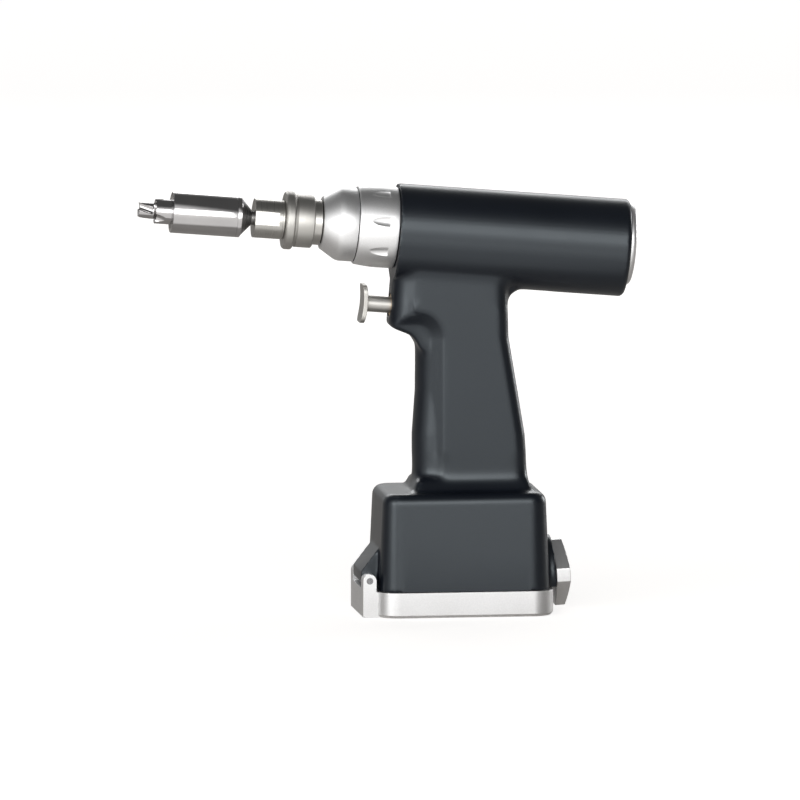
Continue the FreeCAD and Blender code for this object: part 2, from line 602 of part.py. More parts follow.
def barrel():
    body = padded("barrel_form", "YZ_Plane", obround("BarrelRadius"), "BarrelBack - BarrelFront",
                  "BarrelFront", keep=False, lay=lay_on_axis)
    back = size("BarrelBack")
    softened(body, "Chamfer", lambda edge: all(abs(v.X - back) < 0.01 for v in edge.Vertexes), "RimBreak")
    return body


def trigger_case():
    side = padded("trigger_case_side", "XZ_Plane", [
        ("BarrelFront", "-TriggerDrop / 3"), ("BarrelFront", "-TriggerDrop - ChinTop"),
        ("BarrelFront + ChinSetback", "-TriggerDrop - ChinLow"),
        ("BarrelFront + ChinLength", "-TriggerDrop - ChinBack"),
        ("BarrelFront + ThroatLength", "-TriggerDrop - ThroatDrop"),
        ("BarrelFront + CaseLength", "-TriggerDrop - CaseDrop"), ("0", "-TriggerDrop - CaseDrop"),
        ("0", "-TriggerDrop / 3")], "2 * TriggerCase + 2", keep=False, lay=lay_on_axis,
        middle=True)
    plan = padded("trigger_case_plan", "XY_Plane", [
        ("BarrelFront", "TriggerCase - TriggerCaseCorner"), ("BarrelFront", "TriggerCaseCorner - TriggerCase",
                                                             "TriggerCaseCorner"),
        ("BarrelFront + TriggerCaseCorner", "-TriggerCase"), ("1", "-TriggerCase"), ("1", "TriggerCase"),
        ("BarrelFront + TriggerCaseCorner", "TriggerCase", "TriggerCaseCorner")],
        "5 / 3 * TriggerDrop", "-2 * TriggerDrop", keep=False,
        lay=lay_on_axis)
    both = doc.addObject("Part::MultiCommon", "trigger_case_form")
    both.Shapes = [side, plan]
    doc.recompute()
    return both


def grip_outline(front, back):
    return [("%s + GripNoseRadius" % front, "GripNoseRadius", "GripNoseRadius"),
            (front, "0", "GripNoseRadius"), ("%s + GripNoseRadius" % front, "-GripNoseRadius"),
            ("GripCrease", "-GripNoseRadius"), ("GripCrease + CreaseSlope", "-GripHalf"),
            ("%s - GripCorner" % back, "-GripHalf", "GripCorner"), (back, "GripCorner - GripHalf"),
            (back, "GripHalf - GripCorner", "GripCorner"), ("%s - GripCorner" % back, "GripHalf"),
            ("GripCrease + CreaseSlope", "GripHalf"), ("GripCrease", "GripNoseRadius")]


def grip():
    column = lofted("grip_form", "XY_Plane", [
        ("GripLow", grip_outline("GripFrontLow", "GripBackFoot")),
        ("GripFoot", grip_outline("GripFrontLow", "GripBackFoot")),
        ("GripLower", grip_outline("GripFrontLow", "GripBackLow")),
        ("GripMiddle", grip_outline("GripFront", "GripBackMiddle")),
        ("GripHigh", grip_outline("GripFront", "GripBackHigh")),
        ("GripTop", grip_outline("GripFront", "GripBackTop"))], straight=True)
    shoulder = padded("shoulder_form", "XZ_Plane", [
        ("GripCrease", "ShoulderLow"), ("GripCrease + 16", "ShoulderLow"), ("GripCrease + 16", "GripTop"),
        ("GripFront - 2", "GripTop"), ("GripFront - 2", "ShoulderHeight"),
        ("GripFront", "ShoulderHeight", "-(ShoulderHeight - ShoulderLow)")], "2 * GripHalf", keep=False,
        middle=True)
    web = padded("web_form", "XZ_Plane", [
        ("GripBackTop - 3", "WebTop - WebRadius - 3"),
        ("GripBackTop + 0.8", "WebTop - WebRadius - 3", "-WebRadius"),
        ("GripBackTop + WebRadius", "WebTop - 2.5"), ("GripBackTop + WebRadius", "WebTop"),
        ("GripBackTop - 3", "WebTop")], "2 * WebHalf", keep=False, middle=True)
    return [column, shoulder, web]


def battery_housing():
    body = padded("battery_housing_form", "XY_Plane",
                  rounded("-HousingHalf", "HousingHalf", "-HousingWidth", "HousingWidth", "HousingCorner"),
                  "HousingTop - HousingLow", "HousingLow", keep=False)
    bind(body.Tip, "TaperAngle", "-HousingDraft")
    doc.recompute()
    top = size("HousingTop")
    softened(body, "Fillet", lambda edge: all(abs(v.Z - top) < 0.01 for v in edge.Vertexes), "TopRounding")
    return body


# The grip runs out into the battery housing's top in a hollow flare
def flared(column, block):
    stem = joined("flare_form", [column, block])
    top = size("HousingTop")
    reach = size("GripHalf") + 0.5
    flare = doc.addObject("Part::Fillet", "flared_form")
    flare.Base = stem
    room = size("HousingWidth - (HousingTop - HousingLow) * tan(HousingDraft) - TopRounding - GripHalf - 0.2")
    radius = min(size("Flare"), room)
    flare.Edges = [(n + 1, radius, radius) for n, edge in enumerate(stem.Shape.Edges)
                   if all(abs(v.Z - top) < 0.02 and abs(v.Y) < reach for v in edge.Vertexes)
                   and edge.BoundBox.YMax < reach and edge.BoundBox.YMin > -reach]
    doc.recompute()
    return flare


def hinge_lug():
    return padded("hinge_lug_form", "XZ_Plane", [
        ("HingeX - KnuckleRadius", "HingeZ", "KnuckleRadius"), ("HingeX", "HingeZ - KnuckleRadius"),
        ("LugTopX + 2", "HingeZ - KnuckleRadius"), ("LugTopX + 2", "LugTop"), ("LugTopX", "LugTop"),
        ("HingeX - KnuckleRadius", "HingeZ + LugStep")], "2 * LugHalf", keep=False, middle=True)


def straight_box(name, left, right, low_y, high_y, low, high, keep=False):
    box = doc.addObject("Part::Box", name)
    box.Label = name
    bind(box, "Length", "(%s) - (%s)" % (right, left))
    bind(box, "Width", "(%s) - (%s)" % (high_y, low_y))
    bind(box, "Height", "(%s) - (%s)" % (high, low))
    bind(box, ".Placement.Base.x", left)
    bind(box, ".Placement.Base.y", low_y)
    bind(box, ".Placement.Base.z", low)
    doc.recompute()
    if keep:
        nodes.append(box)
    return box


def housing_hollows():
    low = "-TriggerDrop"
    return [
        turned("motor_bore", [
            ("NoseBack", "0"), ("NoseBack", "GearBore"), ("MotorFront", "GearBore"),
            ("MotorFront", "MotorRadius"), ("BarrelBack + 1", "MotorRadius"), ("BarrelBack + 1", "0")],
            keep=False),
        turned("trigger_bore", box_outline("BarrelFront - 1", "TriggerBoreBack + SensorThick", "0",
                                           "BushRadius"), low, keep=False),
        padded("battery_bay", "XY_Plane",
               rounded("-BayHalf", "BayHalf", "-BayWidth", "BayWidth", "BayCorner"),
               "BayTop - HousingLow + 1", "HousingLow - 1", keep=False),
        straight_box("contact_pocket", "-BlockHalf", "BlockHalf", "-BlockWidth", "BlockWidth", "BayTop - 1",
                     "(BayTop + BlockDepth)"),
        straight_box("card_cavity", "CavityFront", "CavityBack", "-CavityHalf", "CavityHalf",
                     "(BayTop + BlockDepth) - 1", "CavityTop"),
        straight_box("lock_pocket", "BayHalf - 1", "LockPocketBack", "-ArmReach - 1", "CatchOuter + 1",
                     "HousingLow - 1", "CatchTop + 1"),
        straight_box("seam_trim", "KnobX - BossDepth - 2", "HousingHalf + 12", "-BossRadius - 1",
                     "BossRadius + 1", "-BossRadius", "HousingLow"),
        turned("lock_bore", [
            ("ArmFront", "0"), ("ArmFront", "LockShaft + RunningFit"),
            ("-WasherSeat", "LockShaft + RunningFit"), ("-WasherSeat", "WasherRadius + SlideGap"),
            ("1", "WasherRadius + SlideGap"), ("1", "0")], keep=False, lay=lay_on_lock),
        hinge_bore("lug_bore", "LugHalf + 1", "HingePin + RunningFit"),
    ]


def hinge_bore(name, half, radius):
    drill = doc.addObject("Part::Cylinder", name)
    drill.Label = name
    drill.Placement = FreeCAD.Placement(V(1, 1, 1), FreeCAD.Rotation(V(1, 0, 0), 90))
    bind(drill, "Radius", radius)
    bind(drill, "Height", "2 * (%s)" % half)
    bind(drill, ".Placement.Base.x", "HingeX")
    bind(drill, ".Placement.Base.y", half)
    bind(drill, ".Placement.Base.z", "HingeZ")
    doc.recompute()
    return drill


def main_housing():
    sleeve = ring("housing_sleeve_form", "NoseBack + SeamGap", "BarrelFront + 2", "GearBore", "SleeveOuter",
                  keep=False)
    boss = turned("lock_boss_form", box_outline("-BossDepth", "-SeamGap", "0", "BossRadius"), keep=False,
                  lay=lay_on_lock)
    column, shoulder, web = grip()
    foot = flared(column, battery_housing())
    solid = joined("housing_form", [barrel(), trigger_case(), shoulder, web, foot, hinge_lug(), boss, sleeve])
    return cut("main_housing", solid, housing_hollows())


# Battery in its bay: a case with four cells, its end plate and the contacts above it
def battery():
    case = straight_box("battery_case_form", "-CaseHalf", "CaseHalf - EndPlate", "-CaseWidth", "CaseWidth",
                        "CaseLow", "(BayTop - CaseGap)")
    start = size("-CaseHalf + 6")
    half = size("CellPitch / 2")
    middle = size("CellMiddle")
    places = [(y, z) for y in (-half, half) for z in (middle - half, middle + half)]
    bores = [disc(size("CellRadius + RunningFit"), start, size("CaseHalf"), y, z) for y, z in places]
    drills = made("cell_bores", Part.makeCompound(bores), lay=None, keep=False)
    cut("battery_case", case, [drills])
    for number, (y, z) in enumerate(places):
        cell = disc(size("CellRadius"), start, start + size("CellLength"), y, z)
        made("battery_cell_%d" % (number + 1), cell, lay=None)
    straight_box("battery_end_plate", "CaseHalf - EndPlate", "CaseHalf", "-CaseWidth", "CaseWidth", "CaseLow",
                 "(BayTop - CaseGap)", keep=True)
    straight_box("battery_terminals", "-ContactSpacing - 3", "ContactSpacing + 3", "-3", "3",
                 "(BayTop - CaseGap)", "(BayTop - CaseGap) + TerminalRise", keep=True)
    block = straight_box("contact_block_form", "-BlockHalf", "BlockHalf", "-BlockWidth", "BlockWidth",
                         "(BayTop - SeamGap)", "(BayTop + BlockDepth)")
    low, high = size("(BayTop - CaseGap) + TerminalRise"), size("(BayTop + BlockDepth) - 1.5")
    radius, spacing = size("ContactRadius"), size("ContactSpacing")
    rods = [Part.makeCylinder(radius, high - low, V(side * spacing, 0, low)) for side in (-1, 1)]
    cut("contact_block", block, [made("contact_holes", Part.makeCompound(rods), lay=None, keep=False)])
    made("contact_pins", Part.makeCompound(rods), lay=None)
    straight_box("control_card", "-CardHalf", "CardHalf", "-CardThick / 2", "CardThick / 2",
                 "(BayTop + BlockDepth)", "CardTop", keep=True)


# Base lid with its hinge ears, catch, pad and seal
def base_lid():
    tray = padded("lid_form", "XY_Plane", rounded("-LidHalf", "LidHalf", "-LidWidth", "LidWidth", "LidCorner"),
                  "HousingLow - SeamGap", keep=False)
    softened(tray, "Chamfer", lambda edge: all(abs(v.Z) < 0.01 for v in edge.Vertexes), "LidEdge")
    ears = padded("lid_ears_form", "XZ_Plane", [
        ("HingeX - KnuckleRadius", "0"), ("-LidHalf + 3", "0"), ("-LidHalf + 3", "HousingLow - SeamGap"),
        ("HingeX + KnuckleRadius", "HousingLow - SeamGap"),
        ("HingeX + KnuckleRadius", "HingeZ", "KnuckleRadius"), ("HingeX", "HingeZ + KnuckleRadius",
                                                               "KnuckleRadius"),
        ("HingeX - KnuckleRadius", "HingeZ")], "2 * EarOuter", keep=False, middle=True)
    catch = padded("catch_form", "YZ_Plane", [
        ("CatchInner", "HousingLow - 2"), ("CatchOuter", "HousingLow - 2"), ("CatchOuter", "CatchTop"),
        ("LipReach", "CatchTop"), ("LipReach", "LipLow"), ("CatchInner", "LipLow")], "CatchThick", "CatchX",
        keep=False)
    solid = joined("lid_solid", [tray, ears, catch])
    slot = straight_box("knuckle_slot", "HingeX - 2 * KnuckleRadius", "HingeX + KnuckleRadius + 0.5",
                        "-LugHalf - SlideGap", "LugHalf + SlideGap", "BlockHeight", "HingeZ + 6")
    pad_outline = rounded("PadInset - LidHalf", "LidHalf - PadInset", "PadInset - LidWidth",
                          "LidWidth - PadInset", "BayCorner")
    pocket = padded("pad_pocket", "XY_Plane", pad_outline, "HousingLow", "PadLow", keep=False)
    groove = padded("seal_groove", "XY_Plane", seal_band("0"), "2", "SealLow", keep=False)
    core = padded("seal_groove_core", "XY_Plane", seal_band("SealBand"), "2", "SealLow", keep=False)
    channel = cut("seal_channel", groove, [core], keep=False)
    cut("base_lid", solid, [slot, pocket, channel, hinge_bore("ear_bore", "EarOuter + 1", "HingePin")])
    padded("battery_pad", "XY_Plane", pad_outline, "CaseLow - SlideGap - PadLow", "PadLow")
    band = padded("lid_seal_outer", "XY_Plane", seal_band("0"), "SealThick", "SealLow", keep=False)
    inner = padded("lid_seal_inner", "XY_Plane", seal_band("SealBand"), "SealThick", "SealLow", keep=False)
    cut("lid_seal", band, [inner])
    for name, side in (("hinge_pin_left", -1), ("hinge_pin_right", 1)):
        hinge_pin(name, side)


def seal_band(inset):
    along, across = "LidHalf - SealInset - %s" % inset, "LidWidth - SealInset - %s" % inset
    return rounded("-(%s)" % along, along, "-(%s)" % across, across, "(LidCorner - SealInset - %s)" % inset)


def hinge_pin(name, side):
    radius, inner, outer = size("HingePin"), size("LugHalf - PinDepth"), size("EarOuter")
    x, z = size("HingeX"), size("HingeZ")
    rod = Part.makeCylinder(radius, outer - inner, V(x, side * inner, z), V(0, side, 0))
    half, depth = size("SocketSize / 2"), size("SocketDepth")
    corners = [V(x + half / math.cos(math.pi / 6) * math.cos(math.pi * n / 3), side * outer,
                 z + half / math.cos(math.pi / 6) * math.sin(math.pi * n / 3)) for n in range(7)]
    socket = Part.Face(Part.makePolygon(corners)).extrude(V(0, -side * depth, 0))
    made(name, rod.cut(socket), lay=None)


# Quarter-turn lock: its arm swings under the lid's catch
def lock():
    plate = padded("knob_form", "YZ_Plane", [
        ("KnobHalf", "-KnobFlat"), ("KnobHalf", "KnobFlat"), ("KnobFlat", "KnobHalf"),
        ("-KnobFlat", "KnobHalf"), ("-KnobHalf", "KnobFlat"), ("-KnobHalf", "-KnobFlat"),
        ("-KnobFlat", "-KnobHalf"), ("KnobFlat", "-KnobHalf")], "KnobThick", keep=False, lay=lay_on_lock)
    crown, half = size("KnobCrown"), size("KnobHalf")
    barrel_shape = Part.makeCylinder(crown, 4 * half, V(size("KnobThick") - crown, -2 * half, 0), V(0, 1, 0))
    dome = made("knob_crown", barrel_shape, lay_on_lock, keep=False)
    knob = doc.addObject("Part::MultiCommon", "lock_knob")
    knob.Label = "lock_knob"
    knob.Shapes = [plate, dome]
    doc.recompute()
    nodes.append(knob)
    arm = Part.makeBox(size("ArmBack - ArmFront"), 2 * size("ArmHalf"), size("ArmReach"),
                       V(size("ArmFront"), -size("ArmHalf"), -size("ArmReach")))
    made("lock_shaft", disc(size("LockShaft"), size("ArmFront"), 0).fuse(arm), lay_on_lock)
    ring("lock_washer", "-WasherSeat + SlideGap", "0", "LockShaft", "WasherRadius", lay=lay_on_lock)


perforator()
chuck()
gearbox()
lock_ring()
motor()
main_housing()
trigger()
battery()
base_lid()
lock()
doc.recompute()
for item in doc.Objects:
    if "Invalid" in item.State or "Error" in item.State:
        raise ValueError("%s failed" % item.Name)
for node in nodes:
    if node.Shape.isNull() or not node.Shape.isValid():
        raise ValueError("%s has no sound shape" % node.Label)
os.makedirs("parts", exist_ok=True)
for node in nodes:
    node.Shape.exportStep("parts/%s.step" % node.Label)
print(len(nodes), "sub-parts")
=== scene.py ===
import bpy
import json
import math
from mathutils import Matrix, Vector


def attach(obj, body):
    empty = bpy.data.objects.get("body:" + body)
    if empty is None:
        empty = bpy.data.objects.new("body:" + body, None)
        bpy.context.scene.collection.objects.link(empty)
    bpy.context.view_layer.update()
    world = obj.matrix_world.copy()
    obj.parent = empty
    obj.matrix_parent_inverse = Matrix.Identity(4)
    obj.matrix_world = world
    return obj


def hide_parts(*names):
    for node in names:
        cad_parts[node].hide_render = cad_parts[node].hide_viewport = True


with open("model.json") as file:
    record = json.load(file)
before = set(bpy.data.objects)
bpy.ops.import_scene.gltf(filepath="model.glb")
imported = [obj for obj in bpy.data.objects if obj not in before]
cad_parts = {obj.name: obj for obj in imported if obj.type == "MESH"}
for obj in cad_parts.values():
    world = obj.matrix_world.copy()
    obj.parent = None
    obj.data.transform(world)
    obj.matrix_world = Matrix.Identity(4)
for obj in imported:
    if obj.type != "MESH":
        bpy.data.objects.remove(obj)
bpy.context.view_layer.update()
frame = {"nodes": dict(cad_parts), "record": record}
print("frame loaded:", len(frame["nodes"]), "nodes")

mm = 0.001
drill = {"tilt": 4.8, "axisHeight": 171.2, "segments": 128}  # the main axis, nose up, over the middle of the base
view = {"azimuth": -7.5, "elevation": 7.0, "distance": 16, "across": 0.36, "aimX": -26.5, "aimZ": 94.4}


# finishes

band = {"spread": (0.3, 0.7), "tint": (0.35, 0.65)}  # the part of a noise's range that is used
even = (1, 1, 1)  # noise that isn't stretched
anodised = {"dark": (0.0026, 0.0038, 0.0072), "light": (0.0036, 0.0050, 0.0090), "rough": (0.29, 0.35), "grain": 1500,
            "glint": (0.86, 0.95, 1.0), "shine": 0.62, "cloud": 22, "bump": 0.10, "depth": 0.0002}
turning = {"along": 3, "detail": 4, "noiseRough": 0.7, "cloud": 60, "shade": 0.93, "rough": (0.05, 0.07),
           "depth": 0.00005}
blasting = {"grain": 1700, "cloud": 35, "shade": 0.95, "rough": (0.04, 0.05), "bump": 0.12, "depth": 0.0001}
moulding = {"grain": 900, "shade": 0.85, "rough": (0.05, 0.05), "bump": 0.08, "depth": 0.0001}


def newMaterial(name, colour, metal, rough):
    material = bpy.data.materials.new(name)
    material.use_nodes = True
    shader = material.node_tree.nodes["Principled BSDF"]
    shader.inputs["Base Color"].default_value = (*colour, 1)
    shader.inputs["Metallic"].default_value = metal
    shader.inputs["Roughness"].default_value = rough
    return material, shader


def objectSpot(tree, scale, turn=0.0):  # object coordinates, turned onto the drill's axis and stretched
    coordinate = tree.nodes.new("ShaderNodeTexCoord")
    turner = tree.nodes.new("ShaderNodeMapping")
    turner.vector_type = "POINT"
    turner.inputs["Rotation"].default_value = (0, math.radians(-turn), 0)
    tree.links.new(coordinate.outputs["Object"], turner.inputs["Vector"])
    stretch = tree.nodes.new("ShaderNodeMapping")
    stretch.inputs["Scale"].default_value = scale
    tree.links.new(turner.outputs["Vector"], stretch.inputs["Vector"])
    return stretch.outputs["Vector"]


def noiseOn(tree, spot, size, detail, rough=0.55):
    noise = tree.nodes.new("ShaderNodeTexNoise")
    noise.inputs["Scale"].default_value = size
    noise.inputs["Detail"].default_value = detail
    noise.inputs["Roughness"].default_value = rough
    tree.links.new(spot, noise.inputs["Vector"])
    return noise.outputs["Fac"]


def ranged(tree, value, numbers, steps="LINEAR"):  # from low and high, to low and high
    ranger = tree.nodes.new("ShaderNodeMapRange")
    ranger.interpolation_type = steps
    for key, number in zip(("From Min", "From Max", "To Min", "To Max"), numbers):
        ranger.inputs[key].default_value = number
    tree.links.new(value, ranger.inputs["Value"])
    return ranger.outputs["Result"]


def roughened(tree, shader, value, low, high):
    tree.links.new(ranged(tree, value, (*band["spread"], low, high)), shader.inputs["Roughness"])


def tinted(tree, shader, value, dark, light):  # the colour wanders from dark to light
    ramp = tree.nodes.new("ShaderNodeValToRGB")
    for stop, position, colour in zip(ramp.color_ramp.elements, band["tint"], (dark, light)):
        stop.position = position
        stop.color = (*colour, 1)
    tree.links.new(value, ramp.inputs["Fac"])
    tree.links.new(ramp.outputs["Color"], shader.inputs["Base Color"])


def bumped(tree, shader, height, strength, depth):
    bump = tree.nodes.new("ShaderNodeBump")
    bump.inputs["Strength"].default_value = strength
    bump.inputs["Distance"].default_value = depth
    tree.links.new(height, bump.inputs["Height"])
    tree.links.new(bump.outputs["Normal"], shader.inputs["Normal"])


def shaded(colour, share):
    return tuple(part * share for part in colour)


def blackAnodised():
    material, shader = newMaterial("blackAnodised", anodised["light"], 0.0, anodised["rough"][1])
    tree = material.node_tree
    shader.inputs["Specular IOR Level"].default_value = anodised["shine"]
    shader.inputs["Specular Tint"].default_value = (*anodised["glint"], 1)
    cloud = noiseOn(tree, objectSpot(tree, even), anodised["cloud"], 3)
    tinted(tree, shader, cloud, anodised["dark"], anodised["light"])
    fine = noiseOn(tree, objectSpot(tree, even), anodised["grain"], 2)
    roughened(tree, shader, cloud, *anodised["rough"])
    bumped(tree, shader, fine, anodised["bump"], anodised["depth"])
    return material


def turnedMetal(name, colour, rough, lines, bump=0.12):  # rings left by the lathe, square to the axis
    material, shader = newMaterial(name, colour, 1.0, rough)
    tree = material.node_tree
    stretched = objectSpot(tree, (lines, turning["along"], turning["along"]), drill["tilt"])
    rings = noiseOn(tree, stretched, 1, turning["detail"], turning["noiseRough"])
    cloud = noiseOn(tree, objectSpot(tree, even), turning["cloud"], 3)
    roughened(tree, shader, rings, rough - turning["rough"][0], rough + turning["rough"][1])
    tinted(tree, shader, cloud, shaded(colour, turning["shade"]), colour)
    bumped(tree, shader, rings, bump, turning["depth"])
    return material


def blastedMetal(name, colour, rough):  # bead-blasted and anodised clear
    material, shader = newMaterial(name, colour, 1.0, rough)
    tree = material.node_tree
    fine = noiseOn(tree, objectSpot(tree, even), blasting["grain"], 2)
    cloud = noiseOn(tree, objectSpot(tree, even), blasting["cloud"], 3)
    roughened(tree, shader, cloud, rough - blasting["rough"][0], rough + blasting["rough"][1])
    tinted(tree, shader, fine, shaded(colour, blasting["shade"]), colour)
    bumped(tree, shader, fine, blasting["bump"], blasting["depth"])
    return material


def plainFinish(name, colour, rough):  # moulded plastic and rubber
    material, shader = newMaterial(name, colour, 0.0, rough)
    tree = material.node_tree
    fine = noiseOn(tree, objectSpot(tree, even), moulding["grain"], 3)
    tinted(tree, shader, fine, shaded(colour, moulding["shade"]), colour)
    roughened(tree, shader, fine, rough - moulding["rough"][0], rough + moulding["rough"][1])
    bumped(tree, shader, fine, moulding["bump"], moulding["depth"])
    return material


finishes = {
    "black_anodised": blackAnodised(),
    "bright_aluminium": blastedMetal("brightAluminium", (0.82, 0.82, 0.82), 0.41),
    "stainless": turnedMetal("stainless", (0.50, 0.49, 0.463), 0.3, 2600),
    "polished_steel": turnedMetal("polishedSteel", (0.50, 0.49, 0.49), 0.1, 1400, 0.05),
    "dark_steel": turnedMetal("darkSteel", (0.30, 0.30, 0.305), 0.26, 1800),
    "bearing_steel": turnedMetal("bearingSteel", (0.62, 0.62, 0.62), 0.15, 2000),
    "motor_steel": turnedMetal("motorSteel", (0.40, 0.40, 0.41), 0.35, 1500),
    "seal_rubber": plainFinish("sealRubber", (0.03, 0.03, 0.03), 0.7),
    "bronze": turnedMetal("bronze", (0.62, 0.42, 0.20), 0.3, 1500),
    "case_plastic": plainFinish("casePlastic", (0.05, 0.05, 0.055), 0.5),
    "cell_wrap": plainFinish("cellWrap", (0.05, 0.2, 0.45), 0.3),
    "circuit": plainFinish("circuit", (0.03, 0.2, 0.1), 0.4),
}
brushed = turnedMetal("brushedStainless", (0.47, 0.46, 0.435), 0.43, 2600)
slotOf = {entry["node"]: entry["material_slot"] for entry in frame["record"]["subparts"]}
for name, node in frame["nodes"].items():
    node.data.materials.clear()
    node.data.materials.append(finishes[slotOf[name]])
print("finishes made:", len(finishes))


# modelling helpers

weld = {"turned": 0.000001, "cad": 0.000002}  # points nearer than this become one
bodyOf = {node: body for body, nodes in frame["record"]["behaviour"]["bodies"].items() for node in nodes}


def only(piece):
    bpy.ops.object.select_all(action="DESELECT")
    piece.select_set(True)
    bpy.context.view_layer.objects.active = piece


def editAll(piece):
    only(piece)
    bpy.ops.object.mode_set(mode="EDIT")
    bpy.ops.mesh.select_all(action="SELECT")


def leaveEdit():
    bpy.ops.object.mode_set(mode="OBJECT")


def placed(piece):  # place, turn and scale go into the mesh
    only(piece)
    bpy.ops.object.transform_apply(location=True, rotation=True, scale=True)
    return piece


def settled(piece, modifier):
    only(piece)
    bpy.ops.object.modifier_apply(modifier=modifier.name)


def joined(pieces):  # the others go into the first
    only(pieces[0])
    for piece in pieces[1:]:
        piece.select_set(True)
    bpy.ops.object.join()
    return pieces[0]


def block(middle, size):  # a box in metres, to mill with or to fill with
    bpy.ops.object.select_all(action="DESELECT")
    bpy.ops.mesh.primitive_cube_add(size=1, location=middle, scale=size)
    return placed(bpy.context.object)


def softEdges(piece, width, angle=28, steps=3):
    bevel = piece.modifiers.new("edges", "BEVEL")
    bevel.width = width * mm
    bevel.segments = steps
    bevel.limit_method = "ANGLE"
    bevel.angle_limit = math.radians(angle)
    bevel.harden_normals = False
    settled(piece, bevel)


def smooth(piece, angle=32):
    only(piece)
    bpy.ops.object.shade_smooth_by_angle(angle=math.radians(angle))


def steadyShading(piece):  # broad flat faces keep their own shade up to their eased edges
    steady = piece.modifiers.new("steady", "WEIGHTED_NORMAL")
    steady.keep_sharp = True
    steady.weight = 100
    settled(piece, steady)


def layOnAxis(piece, drop=0):  # from the X axis onto the drill's own, or a drop below it
    tilt = math.radians(drill["tilt"])
    piece.rotation_euler = (0, tilt, 0)
    piece.location = (-drop * math.sin(tilt) * mm, 0, (drill["axisHeight"] - drop * math.cos(tilt)) * mm)
    placed(piece)


def standFor(piece, node):  # the piece takes the node's body, and the finish of the node's slot when it has none of its own
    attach(piece, bodyOf[node])
    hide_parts(node)
    if not piece.data.materials:
        piece.data.materials.append(finishes[slotOf[node]])
    return piece


def ownCopy(node, name):  # the node's own shape, linked to the scene and welded
    piece = bpy.data.objects.new(name, frame["nodes"][node].data.copy())
    bpy.context.scene.collection.objects.link(piece)
    editAll(piece)
    bpy.ops.mesh.remove_doubles(threshold=weld["cad"])
    return piece


def smoothCopy(node, edge):  # the node's own shape with its fine edges eased
    piece = ownCopy(node, node + "_finished")
    bpy.ops.mesh.dissolve_limited(angle_limit=math.radians(0.2))
    leaveEdit()
    softEdges(piece, edge, steps=2)
    smooth(piece)
    steadyShading(piece)
    return standFor(piece, node)


def lathe(name, profile, edge=0.12):  # a ring is drawn out along the axis, station by station, and closed on itself
    station, radius = profile[0]
    bpy.ops.object.select_all(action="DESELECT")
    bpy.ops.mesh.primitive_circle_add(vertices=drill["segments"], radius=radius * mm, fill_type="NOTHING",
                                      location=(station * mm, 0, 0), rotation=(0, math.radians(90), 0))
    piece = placed(bpy.context.object)
    piece.name = name
    editAll(piece)
    for nextStation, nextRadius in profile[1:] + profile[:1]:
        shift = (nextStation - station) * mm
        bpy.ops.mesh.extrude_edges_move(TRANSFORM_OT_translate={"value": (shift, 0, 0)})
        share = nextRadius / radius
        bpy.ops.transform.resize(value=(1, share, share), center_override=(nextStation * mm, 0, 0))
        station, radius = nextStation, nextRadius
    bpy.ops.mesh.select_all(action="SELECT")
    bpy.ops.mesh.remove_doubles(threshold=weld["turned"])
    bpy.ops.mesh.normals_make_consistent(inside=False)
    leaveEdit()
    if edge:
        softEdges(piece, edge)
    return piece


def turnedCopies(tool, count, first):  # copies spread round the axis; the first angle is from -Y, towards +Z
    copies = []
    for number in range(count):
        copy = tool.copy()
        copy.data = tool.data.copy()
        bpy.context.scene.collection.objects.link(copy)
        copy.rotation_euler = (math.radians(90 - first - 360 * number / count), 0, 0)  # +Z turned onto -Y
        copies.append(placed(copy))
    bpy.data.objects.remove(tool)
    return joined(copies)


def carve(piece, tool):
    cutter = piece.modifiers.new("carve", "BOOLEAN")
    cutter.operation = "DIFFERENCE"
    cutter.solver = "EXACT"
    cutter.object = tool
    settled(piece, cutter)
    bpy.data.objects.remove(tool)


core = 0.0002  # a profile's closed end, all but on the axis


# the nose: cone and lock ring

nose = {"front": -62.8, "frontRadius": 11.7, "shoulder": -55.1, "radius": 16.6, "back": -47.6, "bore": 9.5,
        "spigot": 14.3, "spigotBack": -44.0, "shoulderRadius": 1.6, "edge": 0.3}
noseCone = lathe("nose_cone_finished", [
    (nose["front"], nose["bore"]), (nose["front"], nose["frontRadius"]), (nose["shoulder"], nose["radius"]),
    (nose["back"], nose["radius"]), (nose["back"], nose["spigot"]), (nose["spigotBack"], nose["spigot"]),
    (nose["spigotBack"], nose["bore"])], edge=0)
editAll(noseCone)
bpy.ops.mesh.select_all(action="DESELECT")
leaveEdit()
for edge in noseCone.data.edges:  # the shoulder is turned with a broad radius
    a, b = [noseCone.data.vertices[number].co for number in edge.vertices]
    edge.select = abs(a.x - b.x) < 1e-6 and abs(a.x - nose["shoulder"] * mm) < 1e-5
bpy.ops.object.mode_set(mode="EDIT")
bpy.ops.mesh.bevel(offset=nose["shoulderRadius"] * mm, segments=6)
leaveEdit()
softEdges(noseCone, nose["edge"], angle=30, steps=2)
layOnAxis(noseCone)
smooth(noseCone)
standFor(noseCone, "nose_cone")

ringSize = {"front": -47.3, "back": -29.3, "bore": 16.5, "radius": 18.44, "scoops": 8, "firstScoop": 13.5,
            "scoopTip": -43.0, "scoopBack": -33.6, "scoopRadius": 3.5, "scoopDepth": 1.0, "scoopBlunt": 0.7,
            "edge": 0.18,
            "crown": [(-47.3, 17.3), (-46.9, 17.6), (-44.4, 17.9), (-41.9, 18.18), (-39.4, 18.36), (-36.9, 18.44),
                      (-34, 18.44), (-31.5, 18.4), (-29.6, 18.3), (-29.3, 18.05)]}  # stations and radii


